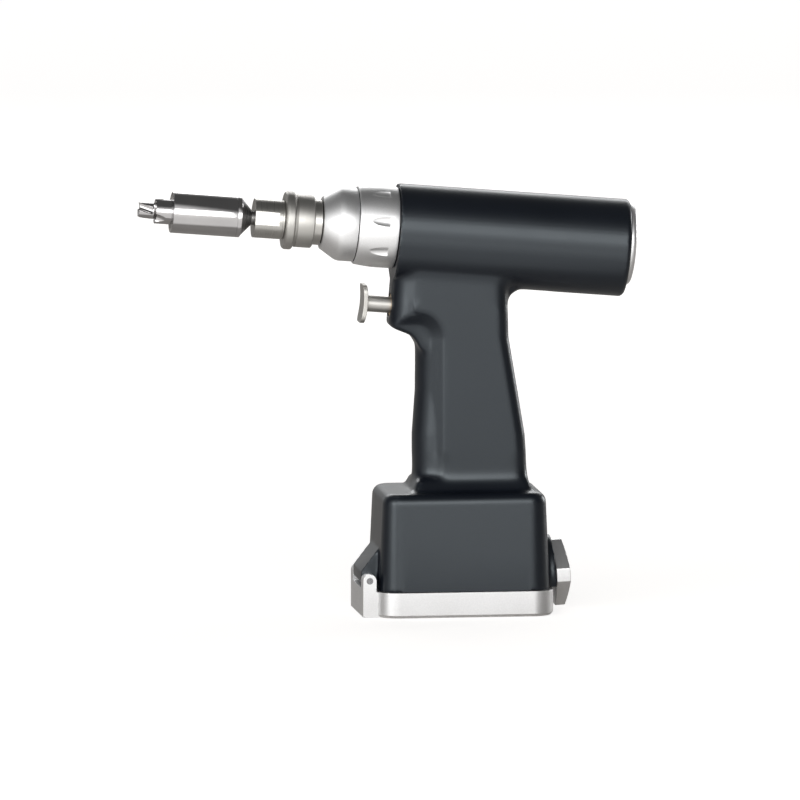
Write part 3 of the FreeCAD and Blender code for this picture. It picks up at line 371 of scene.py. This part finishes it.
def scoopTool():  # a blunt drop: half an egg, flat at its back end
    length = (ringSize["scoopBack"] - ringSize["scoopTip"]) / ringSize["scoopBlunt"]
    lift = ringSize["radius"] + ringSize["scoopRadius"] - ringSize["scoopDepth"]
    bpy.ops.object.select_all(action="DESELECT")
    bpy.ops.mesh.primitive_uv_sphere_add(segments=32, ring_count=24, radius=ringSize["scoopRadius"] * mm,
                                         location=(ringSize["scoopBack"] * mm, 0, lift * mm))
    tool = bpy.context.object
    tool.scale = (length / ringSize["scoopRadius"], 1, 1)
    editAll(placed(tool))
    bpy.ops.mesh.bisect(plane_co=(ringSize["scoopBack"] * mm, 0, 0), plane_no=(1, 0, 0), use_fill=True,
                        clear_outer=True)
    leaveEdit()
    return tool


lockRing = lathe("lock_ring_finished", [(ringSize["front"], ringSize["bore"])] + ringSize["crown"] +
                 [(ringSize["back"], ringSize["bore"])], edge=0)
carve(lockRing, turnedCopies(scoopTool(), ringSize["scoops"], ringSize["firstScoop"]))
softEdges(lockRing, ringSize["edge"], angle=24, steps=2)
layOnAxis(lockRing)
smooth(lockRing, 30)
standFor(lockRing, "lock_ring")
print("nose and lock ring made")


# the quick-release chuck

chuckSize = {"front": -93.5, "radius": 8.8, "groove": -81.2, "grooveWide": 0.35, "grooveDeep": 0.18, "shoulder": -80.1,
             "cage": 6.3, "seat": -68.4, "neck": 10.2, "back": -63.3, "socket": 5, "socketFront": -71.7, "bore": 3.25,
             "flats": 2, "firstFlat": 6, "flatBack": -82.6, "flatHeight": 8.3, "flatWide": 14, "edge": 0.22}
chuck = lathe("chuck_body_finished", [
    (chuckSize["front"], chuckSize["bore"]), (chuckSize["front"], chuckSize["radius"]),
    (chuckSize["groove"], chuckSize["radius"]), (chuckSize["groove"], chuckSize["radius"] - chuckSize["grooveDeep"]),
    (chuckSize["groove"] + chuckSize["grooveWide"], chuckSize["radius"] - chuckSize["grooveDeep"]),
    (chuckSize["groove"] + chuckSize["grooveWide"], chuckSize["radius"]),
    (chuckSize["shoulder"], chuckSize["radius"]), (chuckSize["shoulder"], chuckSize["cage"]),
    (chuckSize["seat"], chuckSize["cage"]), (chuckSize["seat"], chuckSize["neck"]),
    (chuckSize["back"], chuckSize["neck"]), (chuckSize["back"], chuckSize["socket"]),
    (chuckSize["socketFront"], chuckSize["socket"]), (chuckSize["socketFront"], chuckSize["bore"])],
    edge=chuckSize["edge"])


def flatTool():  # a block that mills one wrench flat; it reaches 20 mm forward and 6 mm outward
    return block(((chuckSize["flatBack"] - 10) * mm, 0, (chuckSize["flatHeight"] + 3) * mm),
                 (20 * mm, chuckSize["flatWide"] * mm, 6 * mm))


carve(chuck, turnedCopies(flatTool(), chuckSize["flats"], chuckSize["firstFlat"]))
layOnAxis(chuck)
smooth(chuck)
steadyShading(chuck)
standFor(chuck, "chuck_body")

collarSize = {"front": -79.8, "bore": 6.6, "frontRadius": 12.5, "frontEdge": 0.9, "flange": 13.1, "flangeBack": -75.6,
              "flangeEdge": 0.7, "flangeBackRadius": 12.6, "radius": 11.8, "groove": -74.9, "grooveWide": 0.45,
              "grooveDeep": 0.35, "back": -66.7, "backEdge": 0.5, "backRadius": 11.3, "inside": 10.5,
              "insideFront": -76.3, "edge": 0.14}
collarGroove = collarSize["radius"] - collarSize["grooveDeep"]
collar = lathe("release_collar_finished", [
    (collarSize["front"], collarSize["bore"]), (collarSize["front"], collarSize["frontRadius"]),
    (collarSize["front"] + collarSize["frontEdge"], collarSize["flange"]),
    (collarSize["flangeBack"] - collarSize["flangeEdge"], collarSize["flange"]),
    (collarSize["flangeBack"], collarSize["flangeBackRadius"]),
    (collarSize["flangeBack"], collarSize["radius"] - 0.1), (collarSize["groove"], collarSize["radius"] - 0.1),
    (collarSize["groove"] + 0.05, collarGroove), (collarSize["groove"] + 0.4, collarGroove),
    (collarSize["groove"] + collarSize["grooveWide"], collarSize["radius"]),
    (collarSize["back"] - collarSize["backEdge"], collarSize["radius"]),
    (collarSize["back"], collarSize["backRadius"]), (collarSize["back"], collarSize["inside"]),
    (collarSize["insideFront"], collarSize["inside"]), (collarSize["insideFront"], collarSize["bore"])],
    edge=collarSize["edge"])
layOnAxis(collar)
smooth(collar)
collar.data.materials.append(brushed)
standFor(collar, "release_collar")
print("chuck and collar made")


# the perforator

sleeveSize = {"front": -130.8, "frontRadius": 9.0, "frontEdge": 0.25, "back": -99.4, "backRadius": 8.95,
              "backEdge": 0.3, "radius": 9.25, "seam": -101.5, "seamRadius": 9.13, "bore": 5.6, "boreBack": -122,
              "chamber": 6.6, "chamberBack": -104, "rearBore": 5, "edge": 0.05}
sleeve = lathe("perforator_sleeve_finished", [
    (sleeveSize["front"], sleeveSize["bore"]), (sleeveSize["front"], sleeveSize["frontRadius"]),
    (sleeveSize["front"] + sleeveSize["frontEdge"], sleeveSize["radius"]),
    (sleeveSize["seam"] - 0.12, sleeveSize["radius"]), (sleeveSize["seam"] - 0.1, sleeveSize["seamRadius"]),
    (sleeveSize["seam"] + 0.1, sleeveSize["seamRadius"]), (sleeveSize["seam"] + 0.12, sleeveSize["radius"]),
    (sleeveSize["back"] - sleeveSize["backEdge"], sleeveSize["radius"]),
    (sleeveSize["back"], sleeveSize["backRadius"]), (sleeveSize["back"], sleeveSize["rearBore"]),
    (sleeveSize["chamberBack"], sleeveSize["rearBore"]), (sleeveSize["chamberBack"], sleeveSize["chamber"]),
    (sleeveSize["boreBack"], sleeveSize["chamber"]), (sleeveSize["boreBack"], sleeveSize["bore"])],
    edge=sleeveSize["edge"])
layOnAxis(sleeve)
smooth(sleeve)
standFor(sleeve, "perforator_sleeve")

shankSize = {"front": -104, "spigot": 4.95, "shoulder": -99.35, "shoulderRadius": 8.6, "coneBack": -94.9,
             "coneRadius": 3.75, "neck": -94.7, "neckRadius": 3.6, "radius": 3.15, "grooveFront": -79.8,
             "groove": 2.75, "grooveBack": -76.4, "taper": -72.6, "back": -72, "backRadius": 2.6, "edge": 0.06}
shank = lathe("perforator_shank_finished", [
    (shankSize["front"], core), (shankSize["front"], shankSize["spigot"]),
    (shankSize["shoulder"], shankSize["spigot"]), (shankSize["shoulder"], shankSize["shoulderRadius"]),
    (shankSize["coneBack"], shankSize["coneRadius"]), (shankSize["neck"], shankSize["neckRadius"]),
    (shankSize["neck"], shankSize["radius"]), (shankSize["grooveFront"], shankSize["radius"]),
    (shankSize["grooveFront"], shankSize["groove"]), (shankSize["grooveBack"], shankSize["groove"]),
    (shankSize["grooveBack"], shankSize["radius"]), (shankSize["taper"], shankSize["radius"]),
    (shankSize["back"], shankSize["backRadius"]), (shankSize["back"], core)], edge=shankSize["edge"])
layOnAxis(shank)
smooth(shank)
standFor(shank, "perforator_shank")

innerTip = {"point": -146.2, "hollow": -144.9, "hollowRadius": 1.3, "rim": -145.6, "radius": 3.6, "collar": -121.7,
            "collarRadius": 6.2, "collarBack": -119.7, "stem": 2.4, "stemBack": -110, "flutes": 3, "firstFlute": 30,
            "fluteRadius": 2.1, "fluteLift": 4.2, "fluteBack": -139.5, "fluteLong": 147.5, "sweep": 150,
            "stepFront": -146, "step": 0.3, "steps": 24, "edge": 0.08}
innerCutter = lathe("inner_cutter_finished", [
    (innerTip["point"], core), (innerTip["hollow"], innerTip["hollowRadius"]), (innerTip["rim"], innerTip["radius"]),
    (innerTip["collar"], innerTip["radius"]), (innerTip["collar"], innerTip["collarRadius"]),
    (innerTip["collarBack"], innerTip["collarRadius"]), (innerTip["collarBack"], innerTip["stem"]),
    (innerTip["stemBack"], innerTip["stem"]), (innerTip["stemBack"], core)], edge=0)


def fluteTool():  # a round cutter that runs out past the tip
    bpy.ops.object.select_all(action="DESELECT")
    length = innerTip["fluteBack"] + innerTip["fluteLong"]
    bpy.ops.mesh.primitive_cylinder_add(vertices=40, radius=innerTip["fluteRadius"] * mm, depth=length * mm,
                                        location=((innerTip["fluteBack"] - length / 2) * mm, 0,
                                                  innerTip["fluteLift"] * mm),
                                        rotation=(0, math.radians(90), 0))
    return placed(bpy.context.object)


carve(innerCutter, turnedCopies(fluteTool(), innerTip["flutes"], innerTip["firstFlute"]))
editAll(innerCutter)
for number in range(innerTip["steps"]):  # short steps, so that the flutes sweep round evenly
    bpy.ops.mesh.select_all(action="SELECT")
    bpy.ops.mesh.bisect(plane_co=((innerTip["stepFront"] + innerTip["step"] * number) * mm, 0, 0), plane_no=(1, 0, 0))
leaveEdit()
sweep = innerCutter.modifiers.new("sweep", "SIMPLE_DEFORM")
sweep.deform_method = "TWIST"
sweep.deform_axis = "X"
sweep.angle = math.radians(innerTip["sweep"])
settled(innerCutter, sweep)
softEdges(innerCutter, innerTip["edge"], angle=30, steps=2)
layOnAxis(innerCutter)
smooth(innerCutter)
standFor(innerCutter, "inner_cutter")
smoothCopy("outer_cutter", 0.1)
print("perforator made")


# end cap, trigger, hinge pins, lid and lock

capSize = {"back": 78.5, "crown": [(78.5, 16.9), (78.36, 17.5), (77.9, 18.1), (77.3, 18.42), (76.6, 18.5), (76, 18.5)],
           "rimFront": 76, "spigot": 16.4, "sealBack": 72, "sealRadius": 15.1, "sealFront": 70, "front": 67,
           "edge": 0.08}  # the crown's stations and radii
cap = lathe("end_cap_finished", [(capSize["back"], core)] + capSize["crown"] + [
    (capSize["rimFront"], capSize["spigot"]), (capSize["sealBack"], capSize["spigot"]),
    (capSize["sealBack"], capSize["sealRadius"]), (capSize["sealFront"], capSize["sealRadius"]),
    (capSize["sealFront"], capSize["spigot"]), (capSize["front"], capSize["spigot"]), (capSize["front"], core)],
    edge=capSize["edge"])
layOnAxis(cap)
smooth(cap)
standFor(cap, "end_cap")

triggerSize = {"drop": 35, "front": -41.3, "thick": 2, "width": 14, "height": 17.3, "corner": 3.4, "dish": 0.9,
               "edge": 0.45, "stem": 3.7, "stemEase": -10.6, "stemEnd": 3.2, "stemBack": -10, "magnet": 2,
               "magnetLength": 3}
bpy.ops.object.select_all(action="DESELECT")
bpy.ops.mesh.primitive_plane_add(size=1, location=(triggerSize["front"] * mm, 0, 0), rotation=(0, math.radians(-90), 0))
trigger = bpy.context.object
trigger.name = "trigger_finished"
trigger.scale = (triggerSize["height"] * mm, triggerSize["width"] * mm, 1)
editAll(placed(trigger))
bpy.ops.mesh.bevel(offset=triggerSize["corner"] * mm, segments=8, affect="VERTICES")
bpy.ops.mesh.extrude_region_move(TRANSFORM_OT_translate={"value": (triggerSize["thick"] * mm, 0, 0)})
for height in range(-8, 9):  # rows a millimetre apart, so that the plate can curve
    bpy.ops.mesh.select_all(action="SELECT")
    bpy.ops.mesh.bisect(plane_co=(0, 0, height * mm), plane_no=(0, 0, 1))
bpy.ops.mesh.select_all(action="SELECT")
bpy.ops.mesh.normals_make_consistent(inside=False)
leaveEdit()
for vertex in trigger.data.vertices:  # the finger's hollow: top and bottom stand forward
    vertex.co.x -= triggerSize["dish"] * mm * (2 * vertex.co.z / (triggerSize["height"] * mm)) ** 2
softEdges(trigger, triggerSize["edge"], angle=40)
magnetFront = triggerSize["stemBack"] - triggerSize["magnetLength"]
stem = lathe("trigger_stem_part", [
    (triggerSize["front"] + 1, core), (triggerSize["front"] + 1, triggerSize["stem"]),
    (triggerSize["stemEase"], triggerSize["stem"]), (triggerSize["stemBack"], triggerSize["stemEnd"]),
    (triggerSize["stemBack"], triggerSize["magnet"]), (magnetFront, triggerSize["magnet"]), (magnetFront, core)],
    edge=0)
layOnAxis(joined([trigger, stem]), triggerSize["drop"])
smooth(trigger)
steadyShading(trigger)
trigger.data.materials.clear()
trigger.data.materials.append(brushed)
standFor(trigger, "trigger")
for pin in ("hinge_pin_left", "hinge_pin_right"):
    smoothCopy(pin, 0.06).data.materials[0] = finishes["dark_steel"]
smoothCopy("base_lid", 0.35)
smoothCopy("lock_knob", 0.35)
print("lid and lock made")


# the housing: one casting, so every corner runs into the next with a small radius

cast = {"grain": 0.62, "soften": 5, "junctionSoften": 90, "scoopSoften": 9, "chinSoften": 60,
        "footSoften": 110, "triangles": 170000, "angle": 50}
gripForm = {"low": 52, "panelEdge": -8.3, "panelSide": 14.5, "panelBack": -2, "slopeBack": -3, "noseEdge": -14.9,
            "noseSide": 9.8, "inside": 8, "scoopFront": -20, "scoopMiddle": 123.6, "scoopLong": 11.8,
            "scoopHigh": 13.4, "slopeWide": 6.6, "past": 4, "chinLow": 8, "chinFront": 16, "segments": 96}
foot = {"middle": 4.3, "height": 57.5, "size": (51.4, 29, 7), "flareBelow": 56, "flareLong": 1.05, "flareWide": 1.36}
hollow = {"middle": (0.5, 0, 87), "size": (28, 21, 74)}  # the room for the board and the contacts


def between(value, low, high):  # 0 at low, 1 at high, smooth in between
    share = min(max((value - low) / (high - low), 0), 1)
    return share * share * (3 - 2 * share)


def alongAxis(spot):  # the station on the tilted axis and the height over it
    tilt = math.radians(drill["tilt"])
    z = spot.z - drill["axisHeight"]
    return spot.x * math.cos(tilt) - z * math.sin(tilt), spot.x * math.sin(tilt) + z * math.cos(tilt)


def castWeight(spot):  # the machined faces keep their edges: barrel ends, trigger bore and lid seat
    station, height = alongAxis(spot)
    barrelEnds = between(station, -28.4, -26.5) * between(76 - station, 0.2, 1.5)
    bore = 1 if abs(spot.y) > 6 or spot.x > -24 else between(abs(height + triggerSize["drop"]), 5.5, 8)
    return barrelEnds * bore * between(spot.z, 12.2, 14)


def junctionWeight(spot):  # under the barrel, where trigger case and grip run into it
    station, height = alongAxis(spot)
    near = between(height, -34, -29) * between(-height, 9, 15)
    return near * between(station, -27, -23) * between(48 - station, 0, 10)


def scoopWeight(spot):  # the finger scoop's edge and the grip's long bevel
    return between(spot.z, 60, 66) * between(142 - spot.z, 0, 4) * between(abs(spot.y), 7, 10) \
        * between(4 - spot.x, 0, 4)


def chinWeight(spot):  # the trigger case's underside runs into the grip
    return between(spot.z, 104, 112) * between(134 - spot.z, 0, 8) * between(-spot.x, 13, 17)


def footWeight(spot):  # the grip spreads into the battery housing's top
    return between(spot.z, 51, 54) * between(74 - spot.z, 0, 7) * between(21.5 - abs(spot.y), 0, 2.5) \
        * between(33 - abs(spot.x), 0, 3)


def relaxed(piece, name, weightAt, rounds):  # smoothed by as much as the weight says
    group = piece.vertex_groups.new(name=name)
    for vertex in piece.data.vertices:
        group.add([vertex.index], weightAt(vertex.co / mm), "REPLACE")
    relax = piece.modifiers.new("relax", "SMOOTH")
    relax.factor = 0.5
    relax.iterations = rounds
    relax.vertex_group = name
    settled(piece, relax)


def slopeBar(side):  # the long bevel that leads the fingers round to the side panel
    low, high = gripForm["low"] * mm, gripForm["scoopMiddle"] * mm
    bar = block((0, 0, (low + high) / 2), (mm, mm, high - low))
    corners = {(-1, -1): (gripForm["noseEdge"], gripForm["noseSide"]),
               (1, -1): (gripForm["panelEdge"], gripForm["panelSide"]),
               (1, 1): (gripForm["slopeBack"], gripForm["inside"]),
               (-1, 1): (gripForm["noseEdge"], gripForm["inside"])}
    for vertex in bar.data.vertices:
        x, y = corners[(1 if vertex.co.x > 0 else -1, 1 if vertex.co.y > 0 else -1)]
        vertex.co.x, vertex.co.y = x * mm, side * y * mm
    return bar


def panelBar(side):  # carries the side panel forward to the bevel
    low, high = gripForm["low"] * mm, (gripForm["scoopMiddle"] + 1) * mm
    left, right = gripForm["panelEdge"] * mm, gripForm["panelBack"] * mm
    inner, outer = gripForm["inside"] * mm, gripForm["panelSide"] * mm
    return block(((left + right) / 2, side * (inner + outer) / 2, (low + high) / 2),
                 (right - left, outer - inner, high - low))


def ovalAt(depth, across, up, fill):  # an oval that stands at a depth along Y
    bpy.ops.object.select_all(action="DESELECT")
    bpy.ops.mesh.primitive_circle_add(vertices=gripForm["segments"], radius=mm, fill_type=fill,
                                      rotation=(math.radians(90), 0, 0))
    oval = bpy.context.object
    oval.scale = (across, up, 1)
    oval.location = (0, depth * mm, 0)
    return placed(oval)


def atScoop(piece):
    piece.location = (gripForm["scoopFront"] * mm, 0, gripForm["scoopMiddle"] * mm)
    return placed(piece)


def scoopArch(side):  # the bevel goes round the top of the scoop in a quarter oval
    rise = gripForm["panelSide"] - gripForm["noseSide"]
    long, high, wide = gripForm["scoopLong"], gripForm["scoopHigh"], gripForm["slopeWide"]
    past = gripForm["past"]
    steps = [(gripForm["panelSide"], long + past, high + past), (gripForm["panelSide"], long, high),
             (gripForm["panelSide"] - rise, long - wide, high - wide), (gripForm["inside"], long - wide, high - wide),
             (gripForm["inside"], long + past, high + past)]
    depth, across, up = steps[0]
    arch = ovalAt(side * depth, across, up, "NOTHING")
    editAll(arch)
    for nextDepth, nextAcross, nextUp in steps[1:] + steps[:1]:
        bpy.ops.mesh.extrude_edges_move(TRANSFORM_OT_translate={"value": (0, side * (nextDepth - depth) * mm, 0)})
        bpy.ops.transform.resize(value=(nextAcross / across, 1, nextUp / up),
                                 center_override=(0, side * nextDepth * mm, 0))
        depth, across, up = nextDepth, nextAcross, nextUp
    bpy.ops.mesh.select_all(action="SELECT")
    bpy.ops.mesh.remove_doubles(threshold=weld["turned"])
    bpy.ops.mesh.bisect(plane_co=(0, 0, 0), plane_no=(-1, 0, 0), use_fill=True, clear_outer=True)
    bpy.ops.mesh.select_all(action="SELECT")
    bpy.ops.mesh.bisect(plane_co=(0, 0, -0.3 * mm), plane_no=(0, 0, -1), use_fill=True, clear_outer=True)
    bpy.ops.mesh.select_all(action="SELECT")
    bpy.ops.mesh.normals_make_consistent(inside=False)
    leaveEdit()
    return atScoop(arch)


def scoopTrim(side):  # what the scoop takes off the trigger case
    rise = gripForm["panelSide"] - gripForm["noseSide"]
    long, high, wide = gripForm["scoopLong"], gripForm["scoopHigh"], gripForm["slopeWide"]
    past = gripForm["past"]
    grown = past * wide / rise
    trim = ovalAt(side * gripForm["noseSide"], long - wide, high - wide, "NGON")
    editAll(trim)
    across, up = long - wide, high - wide
    for depth, nextAcross, nextUp in ((rise, long, high), (past, long + grown, high + grown)):
        bpy.ops.mesh.extrude_region_move(TRANSFORM_OT_translate={"value": (0, side * depth * mm, 0)})
        bpy.ops.transform.resize(value=(nextAcross / across, 1, nextUp / up), center_override=(0, 0, 0))
        across, up = nextAcross, nextUp
    bpy.ops.mesh.select_all(action="SELECT")
    bpy.ops.mesh.normals_make_consistent(inside=False)
    leaveEdit()
    for vertex in trim.data.vertices:  # the lower and the front half are drawn out
        if vertex.co.z < -1e-6:
            vertex.co.z -= gripForm["chinLow"] * mm
        if vertex.co.x < -1e-6:
            vertex.co.x -= gripForm["chinFront"] * mm
    return atScoop(trim)


def footBlock():  # the grip's spread over the battery housing, before it is softened
    spread = block((foot["middle"] * mm, 0, foot["height"] * mm), [length * mm for length in foot["size"]])
    for vertex in spread.data.vertices:
        if vertex.co.z < foot["flareBelow"] * mm:
            vertex.co.x = foot["middle"] * mm + (vertex.co.x - foot["middle"] * mm) * foot["flareLong"]
            vertex.co.y *= foot["flareWide"]
    return spread


def gripHollow():  # what the fillers leave free
    return block([part * mm for part in hollow["middle"]], [part * mm for part in hollow["size"]])


fillers = [make(side) for side in (-1, 1) for make in (slopeBar, panelBar, scoopArch)] + [footBlock()]
housing = ownCopy("main_housing", "housing_finished")
leaveEdit()
for side in (-1, 1):
    carve(housing, scoopTrim(side))
for filler in fillers:
    editAll(filler)
    bpy.ops.mesh.normals_make_consistent(inside=False)
    leaveEdit()
    carve(filler, gripHollow())
joined([housing] + fillers)
grainer = housing.modifiers.new("grain", "REMESH")
grainer.mode = "VOXEL"
grainer.voxel_size = cast["grain"] * mm
settled(housing, grainer)
print("housing grained:", len(housing.data.vertices), "points")
relaxed(housing, "casting", castWeight, cast["soften"])
relaxed(housing, "junction", junctionWeight, cast["junctionSoften"])
relaxed(housing, "scoop", scoopWeight, cast["scoopSoften"])
relaxed(housing, "chin", chinWeight, cast["chinSoften"])
relaxed(housing, "foot", footWeight, cast["footSoften"])
thinner = housing.modifiers.new("thinner", "DECIMATE")
thinner.ratio = cast["triangles"] / (2 * len(housing.data.polygons))
settled(housing, thinner)
housing.vertex_groups.clear()
smooth(housing, cast["angle"])
standFor(housing, "main_housing")
print("housing cast:", len(housing.data.polygons), "faces")


# the studio

studio = {"litSide": 27, "frontSide": (0.4, 0.75, 0, 1), "frontSky": (0.78, 0.95, 0.9, 0.0),
          "rearSide": (0.3, 0.75, 0, 1), "rearSky": (0.55, 0.85, 0.4, 0.0), "ambient": 0.11,
          "floorPaint": (0.52, 0.50, 0.48), "glowColour": (1, 1, 1), "floorWhite": (0.4, 3.0, 0.72, 0.86),
          "floorAhead": (0.35, 0.75, 0.02, 0.75), "floorNear": (-0.15, -0.09, 1, 0.08), "floorRadius": 12,
          "floorDrop": 0.0002}
lamps = {"frontBox": ((-0.1, -1.8, 0.6), (1.5, 1.0), 14),  # place, size and watts
         "leftBox": ((-1.25, -1.3, 0.35), (0.9, 0.9), 10),
         "rightBox": ((1.5, 0.9, 0.4), (0.5, 0.7), 8),
         "backBox": ((0.2, 1.6, 0.9), (1.6, 0.5), 8)}


def span(tree, value, numbers):
    return ranged(tree, value, numbers, "SMOOTHSTEP")


def maths(tree, operation, first, second):
    node = tree.nodes.new("ShaderNodeMath")
    node.operation = operation
    for place, value in enumerate((first, second)):
        if isinstance(value, (int, float)):
            node.inputs[place].default_value = value
        else:
            tree.links.new(value, node.inputs[place])
    return node.outputs["Value"]


def towards(tree, spot):  # how far a direction points to the lit side, 1 straight at it
    heading = tree.nodes.new("ShaderNodeVectorMath")
    heading.operation = "DOT_PRODUCT"
    tree.links.new(spot, heading.inputs[0])
    turn = math.radians(studio["litSide"])
    heading.inputs[1].default_value = (-math.sin(turn), -math.cos(turn), 0)
    return heading.outputs["Value"]


def paleWorld():  # a lit room in front, a lit strip behind, a dark ceiling
    world = bpy.data.worlds.new("studio")
    bpy.context.scene.world = world
    world.use_nodes = True
    tree = world.node_tree
    tree.nodes.clear()
    output = tree.nodes.new("ShaderNodeOutputWorld")
    shown = tree.nodes.new("ShaderNodeBackground")
    shown.inputs["Color"].default_value = (1, 1, 1, 1)
    lit = tree.nodes.new("ShaderNodeBackground")
    lit.inputs["Color"].default_value = (1, 1, 1, 1)
    direction = tree.nodes.new("ShaderNodeTexCoord")
    parts = tree.nodes.new("ShaderNodeSeparateXYZ")
    tree.links.new(direction.outputs["Generated"], parts.inputs["Vector"])
    front = maths(tree, "MULTIPLY", span(tree, towards(tree, direction.outputs["Generated"]), studio["frontSide"]),
                  span(tree, parts.outputs["Z"], studio["frontSky"]))
    rear = maths(tree, "MULTIPLY", span(tree, parts.outputs["Y"], studio["rearSide"]),
                 span(tree, parts.outputs["Z"], studio["rearSky"]))
    total = maths(tree, "ADD", maths(tree, "ADD", front, rear), studio["ambient"])
    tree.links.new(total, lit.inputs["Strength"])
    path = tree.nodes.new("ShaderNodeLightPath")
    mixer = tree.nodes.new("ShaderNodeMixShader")
    tree.links.new(path.outputs["Is Camera Ray"], mixer.inputs["Fac"])
    tree.links.new(lit.outputs["Background"], mixer.inputs[1])
    tree.links.new(shown.outputs["Background"], mixer.inputs[2])
    tree.links.new(mixer.outputs["Shader"], output.inputs["Surface"])


def paleFloor():  # white to the camera; polished metal sees it bright in front and dim behind: painted light, and painted shade under the drill, in its reflections
    bpy.ops.object.select_all(action="DESELECT")
    bpy.ops.mesh.primitive_circle_add(vertices=96, radius=studio["floorRadius"], fill_type="NGON",
                                      location=(0, 0, -studio["floorDrop"]))
    floor = bpy.context.object
    floor.name = "floor"
    material = bpy.data.materials.new("paleFloor")
    material.use_nodes = True
    tree = material.node_tree
    tree.nodes.clear()
    output = tree.nodes.new("ShaderNodeOutputMaterial")
    paint = tree.nodes.new("ShaderNodeBsdfDiffuse")
    paint.inputs["Color"].default_value = (*studio["floorPaint"], 1)
    glow = tree.nodes.new("ShaderNodeEmission")
    glow.inputs["Color"].default_value = (*studio["glowColour"], 1)
    path = tree.nodes.new("ShaderNodeLightPath")
    place = tree.nodes.new("ShaderNodeTexCoord")
    heading = tree.nodes.new("ShaderNodeVectorMath")
    heading.operation = "NORMALIZE"
    tree.links.new(place.outputs["Object"], heading.inputs[0])
    reach = tree.nodes.new("ShaderNodeVectorMath")
    reach.operation = "LENGTH"
    tree.links.new(place.outputs["Object"], reach.inputs[0])
    parts = tree.nodes.new("ShaderNodeSeparateXYZ")
    tree.links.new(place.outputs["Object"], parts.inputs["Vector"])
    # painted light in reflections: the floor glows bright ahead on the lit side, and the glow fades near and behind the
    # drill as a painted shadow under it
    ahead = maths(tree, "MULTIPLY", span(tree, towards(tree, heading.outputs["Vector"]), studio["floorAhead"]),
                  span(tree, parts.outputs["Y"], studio["floorNear"]))
    seen = maths(tree, "MAXIMUM", path.outputs["Is Camera Ray"], path.outputs["Is Transmission Ray"])
    white = maths(tree, "MULTIPLY", seen, span(tree, reach.outputs["Value"], studio["floorWhite"]))
    mirrored = maths(tree, "MULTIPLY", path.outputs["Is Glossy Ray"], ahead)
    tree.links.new(maths(tree, "ADD", white, mirrored), glow.inputs["Strength"])
    adder = tree.nodes.new("ShaderNodeAddShader")
    tree.links.new(paint.outputs["BSDF"], adder.inputs[0])
    tree.links.new(glow.outputs["Emission"], adder.inputs[1])
    tree.links.new(adder.outputs["Shader"], output.inputs["Surface"])
    floor.data.materials.append(material)


def softBox(name, place, size, power, aim=(0, 0, 0.1)):  # a lamp with a broad face, turned to the drill
    data = bpy.data.lights.new(name, "AREA")
    data.shape = "RECTANGLE"
    data.size, data.size_y = size
    data.energy = power
    lamp = bpy.data.objects.new(name, data)
    bpy.context.scene.collection.objects.link(lamp)
    lamp.location = place
    lamp.rotation_euler = (Vector(aim) - Vector(place)).to_track_quat("-Z", "Y").to_euler()
    lamp.visible_camera = False


def lookFrom():  # the camera, from far off with a long lens
    turn, rise = math.radians(view["azimuth"]), math.radians(view["elevation"])
    right = Vector((math.cos(turn), math.sin(turn), 0))
    back = Vector((math.sin(turn) * math.cos(rise), -math.cos(turn) * math.cos(rise), math.sin(rise)))
    up = back.cross(right)
    data = bpy.data.cameras.new("camera")
    data.sensor_width = 36
    data.lens = data.sensor_width * view["distance"] / view["across"]
    camera = bpy.data.objects.new("camera", data)
    bpy.context.scene.collection.objects.link(camera)
    aim = right * view["aimX"] * mm + up * view["aimZ"] * mm
    camera.location = aim + back * view["distance"]
    camera.rotation_mode = "QUATERNION"
    camera.rotation_quaternion = (-back).to_track_quat("-Z", "Y")
    data.clip_start, data.clip_end = 0.1, 30
    bpy.context.scene.camera = camera


paleWorld()
paleFloor()
for lampName, lamp in lamps.items():
    softBox(lampName, *lamp)
lookFrom()
bpy.context.scene.view_settings.view_transform = "Standard"
print("studio made")
